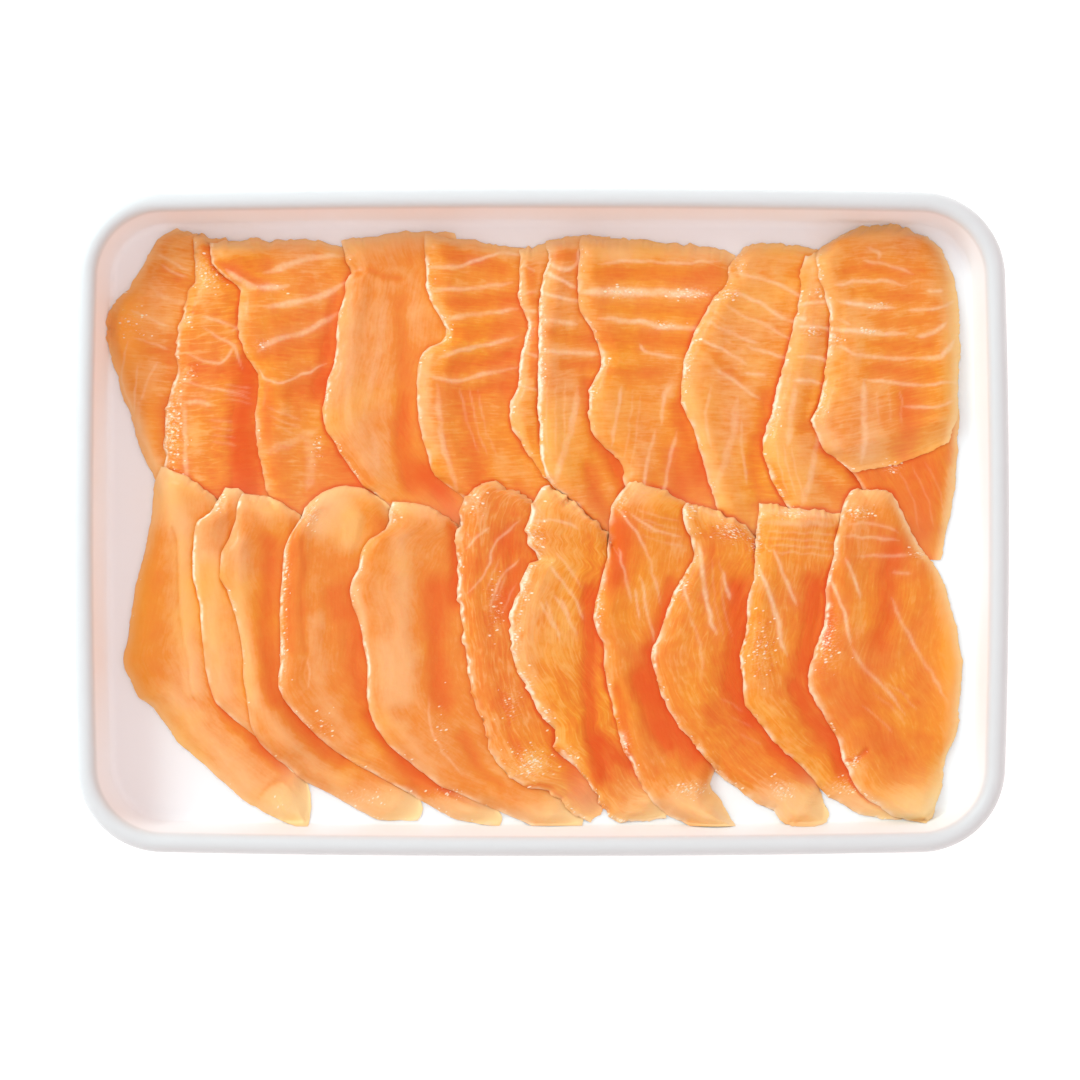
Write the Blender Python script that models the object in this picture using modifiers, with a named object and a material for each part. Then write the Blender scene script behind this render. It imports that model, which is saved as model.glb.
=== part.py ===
"""Raw salmon slices, shingled in two rows on a white foam tray.

The tray is a rolled-lip shell of expanded foam. Twelve slices lie along its far side and eleven
along its near side. They were laid from left to right, so the left edge of each slice rests on
the slice before it, and the near row rests on the lower ends of the far row.

Units are metres, +Z is up, +X runs along the tray, and the origin is under the tray's middle.
"""

import math
import random
from dataclasses import dataclass

import bmesh
import bpy
import numpy as np
from mathutils import Vector
from mathutils.bvhtree import BVHTree

MM = 0.001

# Tray, outside sizes
TRAY_LENGTH = 240.0 * MM
TRAY_WIDTH = 171.4 * MM
TRAY_HEIGHT = 22.5 * MM
TRAY_CORNER = 22.0 * MM
SIDE_BOW = 1.0 * MM
FOAM = 2.4 * MM
LIP_RADIUS = 2.5 * MM
FILLET_RADIUS = 2.4 * MM
WALL_DRAFT = math.radians(7.0)
LIP_STEPS = 5
FILLET_STEPS = 3
CORNER_STEPS = 5
LONG_SIDE_STEPS = 5
SHORT_SIDE_STEPS = 4
FLOOR_BORDER = 1.5 * MM

# Slices
SLICE_THICKNESS = 2.75 * MM
EDGE_SHARE = 0.4
SHOULDER_SHARE = 0.88
RELIEF_SHARE = 0.13
AIR_GAP = 0.3 * MM
WALL_CLEARANCE = 6.9 * MM
CELLS_ACROSS = 6
CELLS_ALONG = 16
SAMPLES_PER_CELL = 3
SETTLE_PASSES = 5
STEPS_BETWEEN_KNOTS = 8
CROWN_REACH = 0.3
TIP_REACH = 0.1
TIP_CROWN = 1.0
SEED = 23

FOAM_COLOUR = (0.90, 0.89, 0.88, 1.0)
SALMON_COLOUR = (0.90, 0.33, 0.09, 1.0)


@dataclass(frozen=True)
class Slice:
    """One slice seen from above, in millimetres from the middle of the tray.

    left and right are places that its two long edges pass, from the head to the tip. crown is
    how far the middle of the head stands out past the line between the two edges.
    """

    left: tuple
    right: tuple
    crown: float


UPPER_ROW = (
    Slice(
        left=((-94, 76.5), (-99.5, 73.5), (-103.5, 67), (-107, 61), (-111, 57), (-112.5, 51.5),
              (-112, 45.5), (-110.5, 39.5), (-109, 33.5), (-106.5, 27), (-103.5, 18.5), (-100, 10),
              (-95, 2)),
        right=((-86.5, 73.5), (-79, 60), (-75.5, 47), (-74.5, 31.5), (-75, 18.5), (-72, 2)),
        crown=1,
    ),
    Slice(
        left=((-90, 74), (-90, 69.5), (-90, 63), (-91.5, 60), (-93, 55), (-94, 50), (-94.5, 42.5),
              (-95, 36.5), (-97, 30), (-98, 24.5), (-98, 17), (-97.5, 12.5), (-94, 5.5), (-88, -4)),
        right=((-76.5, 72.5), (-66, 60), (-62, 44.5), (-62, 31.5), (-63, 13.5), (-62, -4)),
        crown=0.5,
    ),
    Slice(
        left=((-86, 72.5), (-85, 67), (-82, 63.5), (-78, 60), (-78.5, 51), (-77.5, 45.5), (-75, 40.5),
              (-73.5, 37.5), (-74, 29), (-73.5, 20.5), (-72, 13), (-70.5, 7), (-64, -5)),
        right=((-51, 72.5), (-44, 60), (-45.5, 47), (-45.5, 34), (-43.5, 21), (-40, 11), (-33, -5)),
        crown=1,
    ),
    Slice(
        left=((-52, 73.5), (-50.5, 68), (-49, 65), (-50.5, 63), (-51.5, 57.5), (-53, 52), (-53.5, 43.5),
              (-55.5, 35.5), (-56.5, 27.5), (-56, 24.5), (-54, 21), (-50, 15), (-46.5, 10), (-43, 7.5),
              (-36, 0.5), (-30, -4)),
        right=((-22.5, 75), (-19, 62.5), (-18.5, 49.5), (-20.5, 36.5), (-20.5, 24), (-15.5, 12),
               (-8, -4)),
        crown=1,
    ),
    Slice(
        left=((-30, 74.5), (-30, 66), (-29.5, 59.5), (-26.5, 53.5), (-24.5, 49.5), (-26, 46.5),
              (-28.5, 45.5), (-31, 43.5), (-32, 39.5), (-32, 31), (-31, 24), (-29.5, 17.5), (-28, 12.5),
              (-20, 6.5), (-12, -1), (-8, -4.5)),
        right=((-2, 70), (-0.5, 60), (2, 47), (1, 34), (2, 21), (7.5, 11), (16, -4.5)),
        crown=1,
    ),
    Slice(
        left=((-5.5, 70.5), (-6, 58.5), (-3.5, 51.5), (-5, 45.5), (-5.5, 39.5), (-6.5, 34.5),
              (-8.5, 29), (-8, 25.5), (-5.5, 21), (-3, 17), (0, 12.5), (3.5, 9), (12, -4.5)),
        right=((9.5, 72), (8, 57.5), (7.5, 44.5), (7, 31.5), (9, 21), (15, 11), (25, -4.5)),
        crown=1,
    ),
    Slice(
        left=((1.5, 73.5), (1.5, 67), (0, 62), (-0.5, 53.5), (-0.5, 39.5), (-0.5, 25.5), (0.5, 14),
              (2.5, 10.5), (9, 4.5), (13, -1.5), (18.5, -9)),
        right=((18, 74.5), (19, 62.5), (22.5, 49.5), (23.5, 36.5), (25.5, 24), (30.5, 11),
               (39.5, -7)),
        crown=0.5,
    ),
    Slice(
        left=((10, 73.5), (9.5, 67), (9.5, 57.5), (12, 52), (14.5, 47), (16, 42), (13.5, 36), (12, 31),
              (13, 25.5), (14.5, 21.5), (18.5, 18), (21.5, 14), (21.5, 10), (25.5, 2), (29, -5)),
        right=((50, 70), (52, 60), (50, 47), (48, 34), (48.5, 21), (51.5, 11), (57, -4)),
        crown=1.5,
    ),
    Slice(
        left=((52.5, 71.5), (49, 66.5), (48, 61.5), (45, 58.5), (42.5, 54), (40, 49.5), (37.5, 43),
              (36.5, 34.5), (37, 29.5), (39.5, 23.5), (42.5, 14), (44.5, 6.5), (48, -1.5), (50.5, -8)),
        right=((75, 69.5), (79, 57.5), (73, 44.5), (70.5, 31.5), (70.5, 18.5), (72.5, 8.5), (75.5, -7)),
        crown=1.5,
    ),
    Slice(
        left=((68.5, 69.5), (67, 60), (65, 50.5), (63.5, 42.5), (61.5, 35.5), (59.5, 27), (57.5, 21.5),
              (57.5, 18.5), (59.5, 13), (61.5, 8.5), (63.5, 5), (67.5, -2), (70, -7)),
        right=((82, 70), (82.5, 57.5), (81.5, 44.5), (81, 31.5), (82.5, 18.5), (87.5, 5.5), (94, -6)),
        crown=1,
    ),
    Slice(
        left=((79.5, 69), (78.5, 57.5), (77.5, 47), (77, 36.5), (76.5, 26.5), (78.5, 17.5), (82.5, 10),
              (85.5, 5.5), (90, -6)),
        right=((101.5, 67), (105.5, 54.5), (107.5, 42), (108.5, 31.5), (108.5, 22.5), (108, 13.5),
               (106.5, 3), (104, -10)),
        crown=1,
    ),
    Slice(
        left=((76.5, 74), (72.5, 71), (71, 67), (73, 61), (74.5, 54.5), (74.5, 47), (74, 40.5),
              (73, 35), (71.5, 30), (70, 26), (72, 21), (73.5, 18.5), (77, 16), (81, 13)),
        right=((100.5, 74.5), (105, 69.5), (107.5, 63), (108.5, 56), (109, 48), (108.5, 39),
               (108.5, 30), (106, 20.5)),
        crown=3,
    ),
)
LOWER_ROW = (
    Slice(
        left=((-98.5, 14.5), (-100.5, 9.5), (-101, 3), (-102, -2), (-103, -7), (-104.5, -12.5),
              (-105.5, -17.5), (-106.5, -24), (-107.5, -30.5), (-108.5, -37), (-106.5, -41.5),
              (-104.5, -45.5), (-101.5, -47.5), (-98, -52), (-94, -57.5), (-91, -60), (-85, -65.5),
              (-81.5, -68.5), (-77.5, -72), (-72.5, -75), (-67.5, -77.5), (-60.5, -79.5)),
        right=((-83.5, 5.5), (-79.5, -4.5), (-76.5, -20), (-72, -35.5), (-66.5, -49.5), (-63, -59),
               (-61, -67.5)),
        crown=1,
    ),
    Slice(
        left=((-82, 8.5), (-83.5, 6), (-85, 3), (-87, 1.5), (-89, 0), (-90, -4.5), (-90.5, -9),
              (-90.5, -13.5), (-89.5, -18), (-88.5, -22), (-88, -29), (-87.5, -35), (-86.5, -40.5),
              (-85, -45.5), (-83, -48), (-78.5, -52), (-73.5, -56), (-64.5, -65)),
        right=((-76, 6.5), (-72, -4.5), (-69.5, -20), (-66, -38), (-59.5, -53.5), (-54.5, -65)),
        crown=1,
    ),
    Slice(
        left=((-77.5, 7.5), (-78.5, 5), (-79, 0.5), (-80.5, -4), (-82.5, -8), (-83, -14), (-81, -18),
              (-80, -21.5), (-78.5, -27), (-77.5, -33.5), (-77, -40), (-76, -47.5), (-74, -55.5),
              (-69.5, -60.5), (-65.5, -63.5), (-62, -67), (-57, -69.5), (-51.5, -72.5), (-46.5, -75.5),
              (-41.5, -77.5), (-32, -77.5)),
        right=((-62, 1.5), (-57.5, -10), (-54.5, -25), (-50.5, -40.5), (-43, -55), (-35, -65),
               (-31.5, -72)),
        crown=1.5,
    ),
    Slice(
        left=((-61.5, 3.5), (-62.5, 0.5), (-65, -3.5), (-66.5, -7.5), (-67, -12.5), (-67.5, -17.5),
              (-67.5, -24.5), (-67.5, -36.5), (-68, -42), (-66.5, -46), (-63, -50.5), (-59, -54.5),
              (-54.5, -58.5), (-50, -61.5), (-43.5, -65), (-37.5, -68.5), (-31.5, -72), (-26, -75.5),
              (-21, -77.5), (-11, -79)),
        right=((-39.5, 4.5), (-35, -7), (-31.5, -22.5), (-28, -40.5), (-22, -56), (-15.5, -68),
               (-11.5, -74.5)),
        crown=5.5,
    ),
    Slice(
        left=((-38.5, 5.5), (-39.5, 2.5), (-39.5, -0.5), (-42, -3), (-44.5, -4.5), (-46.5, -7.5),
              (-47.5, -12), (-49.5, -16.5), (-49, -21), (-48, -23.5), (-46.5, -28), (-46, -31.5),
              (-45, -37.5), (-45, -46), (-43.5, -52), (-40.5, -56.5), (-36.5, -60.5), (-31, -64.5),
              (-26, -68.5), (-20, -71), (-13.5, -74), (-5.5, -77.5), (-0.5, -79), (10.5, -79)),
        right=((-22.5, 0), (-16, -7), (-12.5, -20), (-9.5, -38), (-3, -53.5), (5, -68), (9.5, -73.5)),
        crown=1.5,
    ),
    Slice(
        left=((-14, 11), (-17.5, 9.5), (-19, 7.5), (-20, 4.5), (-21, 1), (-21.5, -4.5), (-21.5, -11),
              (-21.5, -18), (-20.5, -27), (-19.5, -33.5), (-19, -39), (-18, -44), (-16, -50.5),
              (-14, -56), (-12, -60.5), (-10, -64), (-4.5, -68), (1, -69.5), (5, -71.5), (9, -75.5),
              (12.5, -77.5)),
        right=((-2, 5.5), (2.5, -4.5), (5.5, -20), (8, -35.5), (12, -51), (16, -62.5), (18.5, -71.5)),
        crown=1.5,
    ),
    Slice(
        left=((1, 9), (-0.5, 7), (-2, 4.5), (-2.5, 0.5), (-3.5, -2), (-2.5, -4), (-3, -6), (-1, -9),
              (-3, -11.5), (-4.5, -15.5), (-6.5, -19.5), (-7.5, -23), (-8, -29.5), (-7, -35.5),
              (-5, -40), (-2.5, -44), (0.5, -50), (3, -53.5), (4, -58.5), (6.5, -61), (10, -65),
              (12.5, -69), (15, -73.5), (20, -77.5), (32, -77)),
        right=((17, -3.5), (22.5, -15), (23.5, -28), (25.5, -43.5), (29.5, -56), (32.5, -65),
               (34.5, -71.5)),
        crown=2.5,
    ),
    Slice(
        left=((22.5, 10), (19, 5.5), (18, 2), (17.5, -4.5), (16.5, -11), (15.5, -16), (14.5, -20),
              (13.5, -24.5), (14.5, -28.5), (16, -32), (16.5, -39), (18, -45.5), (19, -50), (20.5, -55),
              (21.5, -59), (23.5, -62.5), (25.5, -67), (27.5, -70.5), (29.5, -73), (34.5, -77),
              (42.5, -80), (49.5, -80.5)),
        right=((39, 4.5), (45, -7), (46.5, -20), (47.5, -35.5), (46.5, -48.5), (46, -61.5), (44, -68),
               (46, -71.5), (49.5, -77)),
        crown=1.5,
    ),
    Slice(
        left=((37, 5), (36.5, 2), (37.5, -1.5), (39, -4.5), (39.5, -7), (39, -10), (37, -13.5),
              (34.5, -18.5), (32.5, -23.5), (30.5, -29.5), (29, -35.5), (30.5, -42), (32, -46.5),
              (35.5, -52.5), (40, -57.5), (44, -62.5), (47.5, -66.5), (51.5, -69.5), (55, -72),
              (60, -75), (64.5, -78.5), (73, -78.5)),
        right=((53, -1), (60.5, -10), (63.5, -22.5), (64.5, -38), (67.5, -51), (71, -62.5),
               (72.5, -68.5), (74, -74)),
        crown=1.5,
    ),
    Slice(
        left=((56.5, 5), (56.5, 0.5), (56, -4.5), (55.5, -10), (55, -15.5), (53.5, -20.5), (53, -28.5),
              (51.5, -35.5), (52.5, -43), (53.5, -48), (57, -52.5), (62, -58.5), (67.5, -63),
              (72.5, -69), (77, -72.5), (82, -75.5), (87.5, -77), (94, -77.5)),
        right=((77.5, 2), (84, -10), (85.5, -25), (87, -43.5), (90.5, -58.5), (95, -73)),
        crown=0.5,
    ),
    Slice(
        left=((80.5, 8), (78.5, 4.5), (77.5, 0.5), (76.5, -4.5), (76, -8.5), (74.5, -13.5), (74, -17.5),
              (74, -20.5), (73.5, -25.5), (71, -33.5), (69.5, -39.5), (70, -44), (72.5, -49), (77, -56),
              (78, -60.5), (80.5, -65.5), (83, -70.5), (87.5, -73.5), (92.5, -77), (99.5, -78)),
        right=((92.5, 5.5), (95, 0), (98, -6), (102, -10.5), (105, -16), (107, -22.5), (108.5, -30.5),
               (109.5, -38), (109, -46), (108, -55), (105.5, -61), (104.5, -67), (102.5, -74.5)),
        crown=2,
    ),
)


# ---------------------------------------------------------------- scene and finishes

def clear_scene():
    for thing in list(bpy.data.objects):
        bpy.data.objects.remove(thing, do_unlink=True)


def make_collection(name):
    collection = bpy.data.collections.new(name)
    bpy.context.scene.collection.children.link(collection)
    return collection


def make_material(name, colour, roughness):
    material = bpy.data.materials.new(name)
    material.use_nodes = True
    shader = material.node_tree.nodes["Principled BSDF"]
    shader.inputs["Base Color"].default_value = colour
    shader.inputs["Roughness"].default_value = roughness
    shader.inputs["Metallic"].default_value = 0.0
    return material


def add_object(name, mesh, material, collection):
    mesh.materials.append(material)
    thing = bpy.data.objects.new(name, mesh)
    collection.objects.link(thing)
    return thing


# ---------------------------------------------------------------- tray

def wall_profile():
    """(inset, height) pairs down the tray's upper side, from the lip's outer edge to the floor."""
    profile = []
    lip_sweep = math.radians(180.0) - WALL_DRAFT
    for step in range(LIP_STEPS + 1):
        angle = lip_sweep * step / LIP_STEPS
        inset = LIP_RADIUS * (1.0 - math.cos(angle))
        height = TRAY_HEIGHT - LIP_RADIUS + LIP_RADIUS * math.sin(angle)
        profile.append((inset, height))
    lip_inset, lip_height = profile[-1]
    fillet_top = FOAM + FILLET_RADIUS * (1.0 - math.sin(WALL_DRAFT))
    wall_run = (lip_height - fillet_top) * math.tan(WALL_DRAFT)
    centre_inset = lip_inset + wall_run + FILLET_RADIUS * math.cos(WALL_DRAFT)
    for step in range(FILLET_STEPS + 1):
        angle = WALL_DRAFT + (math.radians(90.0) - WALL_DRAFT) * step / FILLET_STEPS
        inset = centre_inset - FILLET_RADIUS * math.cos(angle)
        height = FOAM + FILLET_RADIUS * (1.0 - math.sin(angle))
        profile.append((inset, height))
    profile.append((centre_inset + FLOOR_BORDER, FOAM))
    return profile


def tray_ring(inset, height):
    """Points round a rounded rectangle whose straight sides bow slightly outwards."""
    half_x = TRAY_LENGTH / 2 - SIDE_BOW - inset
    half_y = TRAY_WIDTH / 2 - SIDE_BOW - inset
    radius = TRAY_CORNER - inset
    corner_x = half_x - radius
    corner_y = half_y - radius
    sides = (
        (corner_x, corner_y, 0.0, LONG_SIDE_STEPS),
        (-corner_x, corner_y, 90.0, SHORT_SIDE_STEPS),
        (-corner_x, -corner_y, 180.0, LONG_SIDE_STEPS),
        (corner_x, -corner_y, 270.0, SHORT_SIDE_STEPS),
    )
    points = []
    for centre_x, centre_y, start, side_steps in sides:
        for step in range(CORNER_STEPS + 1):
            angle = math.radians(start + 90.0 * step / CORNER_STEPS)
            x = centre_x + radius * math.cos(angle)
            y = centre_y + radius * math.sin(angle)
            points.append(Vector((x, y, height)))
        points.extend(side_points(points[-1], math.radians(start + 90.0), side_steps, corner_x, corner_y))
    return points


def side_points(start, heading, steps, corner_x, corner_y):
    """The bowed points between two corners; heading is the way the side faces."""
    outward = Vector((round(math.cos(heading)), round(math.sin(heading)), 0.0))
    along = Vector((-outward.y, outward.x, 0.0))
    length = 2.0 * (corner_x if outward.x == 0 else corner_y)
    points = []
    for step in range(1, steps):
        share = step / steps
        bow = SIDE_BOW * 4.0 * share * (1.0 - share)
        points.append(start + along * length * share + outward * bow)
    return points


def build_tray(material, collection):
    shape = bmesh.new()
    rings = []
    for inset, height in wall_profile():
        rings.append([shape.verts.new(point) for point in tray_ring(inset, height)])
    count = len(rings[0])
    for outer, inner in zip(rings, rings[1:]):
        for i in range(count):
            j = (i + 1) % count
            shape.faces.new((outer[i], outer[j], inner[j], inner[i]))
    shape.faces.new(rings[-1])
    mesh = bpy.data.meshes.new("tray")
    shape.to_mesh(mesh)
    shape.free()
    tray = add_object("tray", mesh, material, collection)
    wall = tray.modifiers.new("foam thickness", "SOLIDIFY")
    wall.thickness = FOAM
    wall.offset = -1.0
    wall.use_even_offset = True
    mesh.shade_smooth()
    return tray


# ---------------------------------------------------------------- slices

def smooth_path(knots):
    """Catmull-Rom curve through evenly counted knots, as many short steps."""
    rows = np.array(knots, float)
    last = len(rows) - 1
    share = np.linspace(0.0, last, last * STEPS_BETWEEN_KNOTS + 1)
    span = np.minimum(share.astype(int), last - 1)
    step = (share - span)[:, None]
    before = rows[np.maximum(span - 1, 0)]
    start = rows[span]
    end = rows[span + 1]
    after = rows[np.minimum(span + 2, last)]
    linear = end - before
    square = 2.0 * before - 5.0 * start + 4.0 * end - after
    cube = 3.0 * (start - end) + after - before
    return start + 0.5 * step * (linear + step * (square + step * cube))


class Plan:
    """The outline of a slice as a patch between its left and right edges."""

    def __init__(self, cut):
        self.edges = []
        for knots in (cut.left, cut.right):
            path = smooth_path(knots)
            runs = np.cumsum(np.hypot(*np.diff(path, axis=0).T))
            shares = np.concatenate([[0.0], runs / runs[-1]])
            self.edges.append((path, shares))
        self.crown = cut.crown

    def edge_point(self, side, along):
        """Place on the left (0) or right (1) edge at a share of its length."""
        path, shares = self.edges[side]
        inside = min(max(along, 0.0), 1.0)
        place = np.array([np.interp(inside, shares, path[:, axis]) for axis in (0, 1)])
        start, end = (path[0], path[1]) if along < 0.5 else (path[-2], path[-1])
        length = (shares[1] - shares[0]) if along < 0.5 else (shares[-1] - shares[-2])
        return place + (end - start) * (along - inside) / length

    def point(self, across, along):
        """Place on the tray, in metres, of a point given by two shares."""
        left = self.edge_point(0, along)
        row = self.edge_point(1, along) - left
        upward = np.array([-row[1], row[0]]) / max(math.hypot(*row), 1e-6)
        arch = max(4.0 * across * (1.0 - across), 0.0)
        near_head = max(1.0 - along / CROWN_REACH, 0.0)
        near_tip = max(1.0 - (1.0 - along) / TIP_REACH, 0.0)
        bulge = arch * (self.crown * min(near_head, 1.0) - TIP_CROWN * min(near_tip, 1.0))
        x, y = left + row * across + upward * bulge
        return hold_inside(x * MM, y * MM)


def hold_inside(x, y):
    """Moves a point that would touch the tray's wall back onto the floor or its fillet."""
    radius = TRAY_CORNER - WALL_CLEARANCE
    corner_x = TRAY_LENGTH / 2 - WALL_CLEARANCE - radius
    corner_y = TRAY_WIDTH / 2 - WALL_CLEARANCE - radius
    past_x = max(abs(x) - corner_x, 0.0)
    past_y = max(abs(y) - corner_y, 0.0)
    reach = math.hypot(past_x, past_y)
    if reach > radius:
        x = math.copysign(corner_x + past_x * radius / reach, x) if past_x else x
        y = math.copysign(corner_y + past_y * radius / reach, y) if past_y else y
    return x, y


def height_at(trees, x, y):
    """Height of the highest laid piece at a place, or zero where there is none."""
    above = Vector((x, y, 2.0 * TRAY_HEIGHT))
    down = Vector((0.0, 0.0, -1.0))
    highest = 0.0
    for tree in trees:
        hit = tree.ray_cast(above, down)[0]
        if hit is not None:
            highest = max(highest, hit.z)
    return highest


def rest_heights(plan, tray_tree, slice_trees):
    """Height of the underside at each grid point, clear of all that lies below its four cells."""
    margin = SAMPLES_PER_CELL
    samples = {}
    for i in range(-margin, CELLS_ACROSS * SAMPLES_PER_CELL + margin + 1):
        for j in range(-margin, CELLS_ALONG * SAMPLES_PER_CELL + margin + 1):
            across = i / (CELLS_ACROSS * SAMPLES_PER_CELL)
            along = j / (CELLS_ALONG * SAMPLES_PER_CELL)
            samples[i, j] = height_at(slice_trees, *plan.point(across, along))
    rest = {}
    for i in range(CELLS_ACROSS + 1):
        for j in range(CELLS_ALONG + 1):
            near_i = range((i - 1) * SAMPLES_PER_CELL, (i + 1) * SAMPLES_PER_CELL + 1)
            near_j = range((j - 1) * SAMPLES_PER_CELL, (j + 1) * SAMPLES_PER_CELL + 1)
            pile = max(samples[a, b] for a in near_i for b in near_j)
            place = plan.point(i / CELLS_ACROSS, j / CELLS_ALONG)
            rest[i, j] = max(pile, height_at([tray_tree], *place)) + AIR_GAP
    return rest


def settle(rest):
    """Eases the steps in an underside without letting it sink into what carries it."""
    heights = dict(rest)
    for _ in range(SETTLE_PASSES):
        eased = {}
        for (i, j), height in heights.items():
            around = ((i - 1, j), (i + 1, j), (i, j - 1), (i, j + 1))
            beside = [heights[key] for key in around if key in heights]
            mean = sum(beside) / len(beside)
            eased[i, j] = max(rest[i, j], 0.5 * (height + mean))
        heights = eased
    return heights


def thickness_at(i, j, waves):
    """Local thickness: thin along the cut edges, with low flaky ridges across the middle."""
    inward = min(i, CELLS_ACROSS - i, j, CELLS_ALONG - j)
    share = (EDGE_SHARE, SHOULDER_SHARE)[inward] if inward < 2 else 1.0
    ridge = math.sin(waves[0] * j + waves[1] * i + waves[2])
    return SLICE_THICKNESS * share * (1.0 + RELIEF_SHARE * ridge)


def build_slice(name, cut, tray_tree, slice_trees, material, collection, draw):
    plan = Plan(cut)
    heights = settle(rest_heights(plan, tray_tree, slice_trees))
    waves = (draw.uniform(1.2, 2.0), draw.uniform(-1.2, 1.2), draw.uniform(0.0, math.tau))
    shape = bmesh.new()
    bmesh.ops.create_grid(shape, x_segments=CELLS_ACROSS, y_segments=CELLS_ALONG, size=0.5)
    thickness = shape.verts.layers.float.new("thickness")
    for corner in shape.verts:
        i = round((corner.co.x + 0.5) * CELLS_ACROSS)
        j = round((0.5 - corner.co.y) * CELLS_ALONG)
        x, y = plan.point(i / CELLS_ACROSS, j / CELLS_ALONG)
        corner.co = Vector((x, y, heights[i, j]))
        corner[thickness] = thickness_at(i, j, waves)
    extruded = bmesh.ops.extrude_face_region(shape, geom=list(shape.faces), use_keep_orig=True)
    for item in extruded["geom"]:
        if isinstance(item, bmesh.types.BMVert):
            item.co.z += item[thickness]
    bmesh.ops.triangulate(shape, faces=list(shape.faces), quad_method="SHORT_EDGE")
    bmesh.ops.recalc_face_normals(shape, faces=list(shape.faces))
    mesh = bpy.data.meshes.new(name)
    shape.to_mesh(mesh)
    shape.free()
    mesh.shade_smooth()
    return add_object(name, mesh, material, collection)


def tree_of(thing):
    bpy.context.view_layer.update()
    return BVHTree.FromObject(thing, bpy.context.evaluated_depsgraph_get())


def main():
    clear_scene()
    collection = make_collection("salmon slices on a tray")
    foam = make_material("white foam", FOAM_COLOUR, 0.55)
    salmon = make_material("raw salmon", SALMON_COLOUR, 0.3)
    draw = random.Random(SEED)
    tray_tree = tree_of(build_tray(foam, collection))
    slice_trees = []
    for row_name, row in (("upper", UPPER_ROW), ("lower", LOWER_ROW)):
        for number, cut in enumerate(row, start=1):
            name = f"{row_name}_slice_{number:02d}"
            laid = build_slice(name, cut, tray_tree, slice_trees, salmon, collection, draw)
            slice_trees.append(tree_of(laid))


main()
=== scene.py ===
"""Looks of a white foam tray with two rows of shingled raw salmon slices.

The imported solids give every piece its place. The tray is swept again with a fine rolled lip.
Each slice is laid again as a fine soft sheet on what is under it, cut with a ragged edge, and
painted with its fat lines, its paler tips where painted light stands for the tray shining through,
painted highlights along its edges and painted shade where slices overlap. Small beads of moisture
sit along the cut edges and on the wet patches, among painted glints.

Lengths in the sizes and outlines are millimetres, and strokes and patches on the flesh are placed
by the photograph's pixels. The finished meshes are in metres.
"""

from __future__ import annotations

import logging
import math
from dataclasses import dataclass
from enum import Enum

import bmesh
import bpy
import numpy as np
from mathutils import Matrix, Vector

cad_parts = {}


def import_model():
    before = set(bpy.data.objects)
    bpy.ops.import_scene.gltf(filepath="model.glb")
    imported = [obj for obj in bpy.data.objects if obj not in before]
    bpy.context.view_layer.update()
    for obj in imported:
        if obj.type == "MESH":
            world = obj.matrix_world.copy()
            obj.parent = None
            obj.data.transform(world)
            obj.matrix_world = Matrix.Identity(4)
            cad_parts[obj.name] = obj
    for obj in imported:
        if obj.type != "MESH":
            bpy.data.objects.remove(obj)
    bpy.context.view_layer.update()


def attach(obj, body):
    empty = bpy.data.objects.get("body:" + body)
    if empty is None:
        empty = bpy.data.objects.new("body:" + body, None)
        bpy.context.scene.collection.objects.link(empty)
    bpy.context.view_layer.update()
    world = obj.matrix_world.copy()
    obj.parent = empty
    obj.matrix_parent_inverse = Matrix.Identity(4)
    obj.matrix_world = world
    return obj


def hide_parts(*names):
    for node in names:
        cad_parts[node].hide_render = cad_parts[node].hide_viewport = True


MM = 0.001
BODY = "root"
LOG = logging.getLogger("salmon")

# The photograph's pixels lie on the plane of the slices, seen from straight above
PHOTO_PIXEL_MM = 240.0 / 938.0 * 1209.0 / 1200.0
PHOTO_MIDDLE = (540.0, 540.0)
VIEW_CENTRE_MM = (-0.26, -4.6)
VIEW_WIDTH_MM = 276.3
CAMERA_HEIGHT_MM = 1200.0

Array = np.ndarray
Plug = bpy.types.NodeSocket


def photo_to_tray(points: tuple) -> Array:
    """Turns places measured on the photograph into places on the tray.

    Args:
        points: x and y of each place, in turn, in the photograph's pixels, y down.

    Returns:
        An array of (x, y) rows in millimetres from the middle of the tray.
    """
    spots = np.array(points, float).reshape(-1, 2)
    x = (spots[:, 0] - PHOTO_MIDDLE[0]) * PHOTO_PIXEL_MM + VIEW_CENTRE_MM[0]
    y = (PHOTO_MIDDLE[1] - spots[:, 1]) * PHOTO_PIXEL_MM + VIEW_CENTRE_MM[1]
    return np.stack([x, y], axis=1)


# ---------------- sizes

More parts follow.
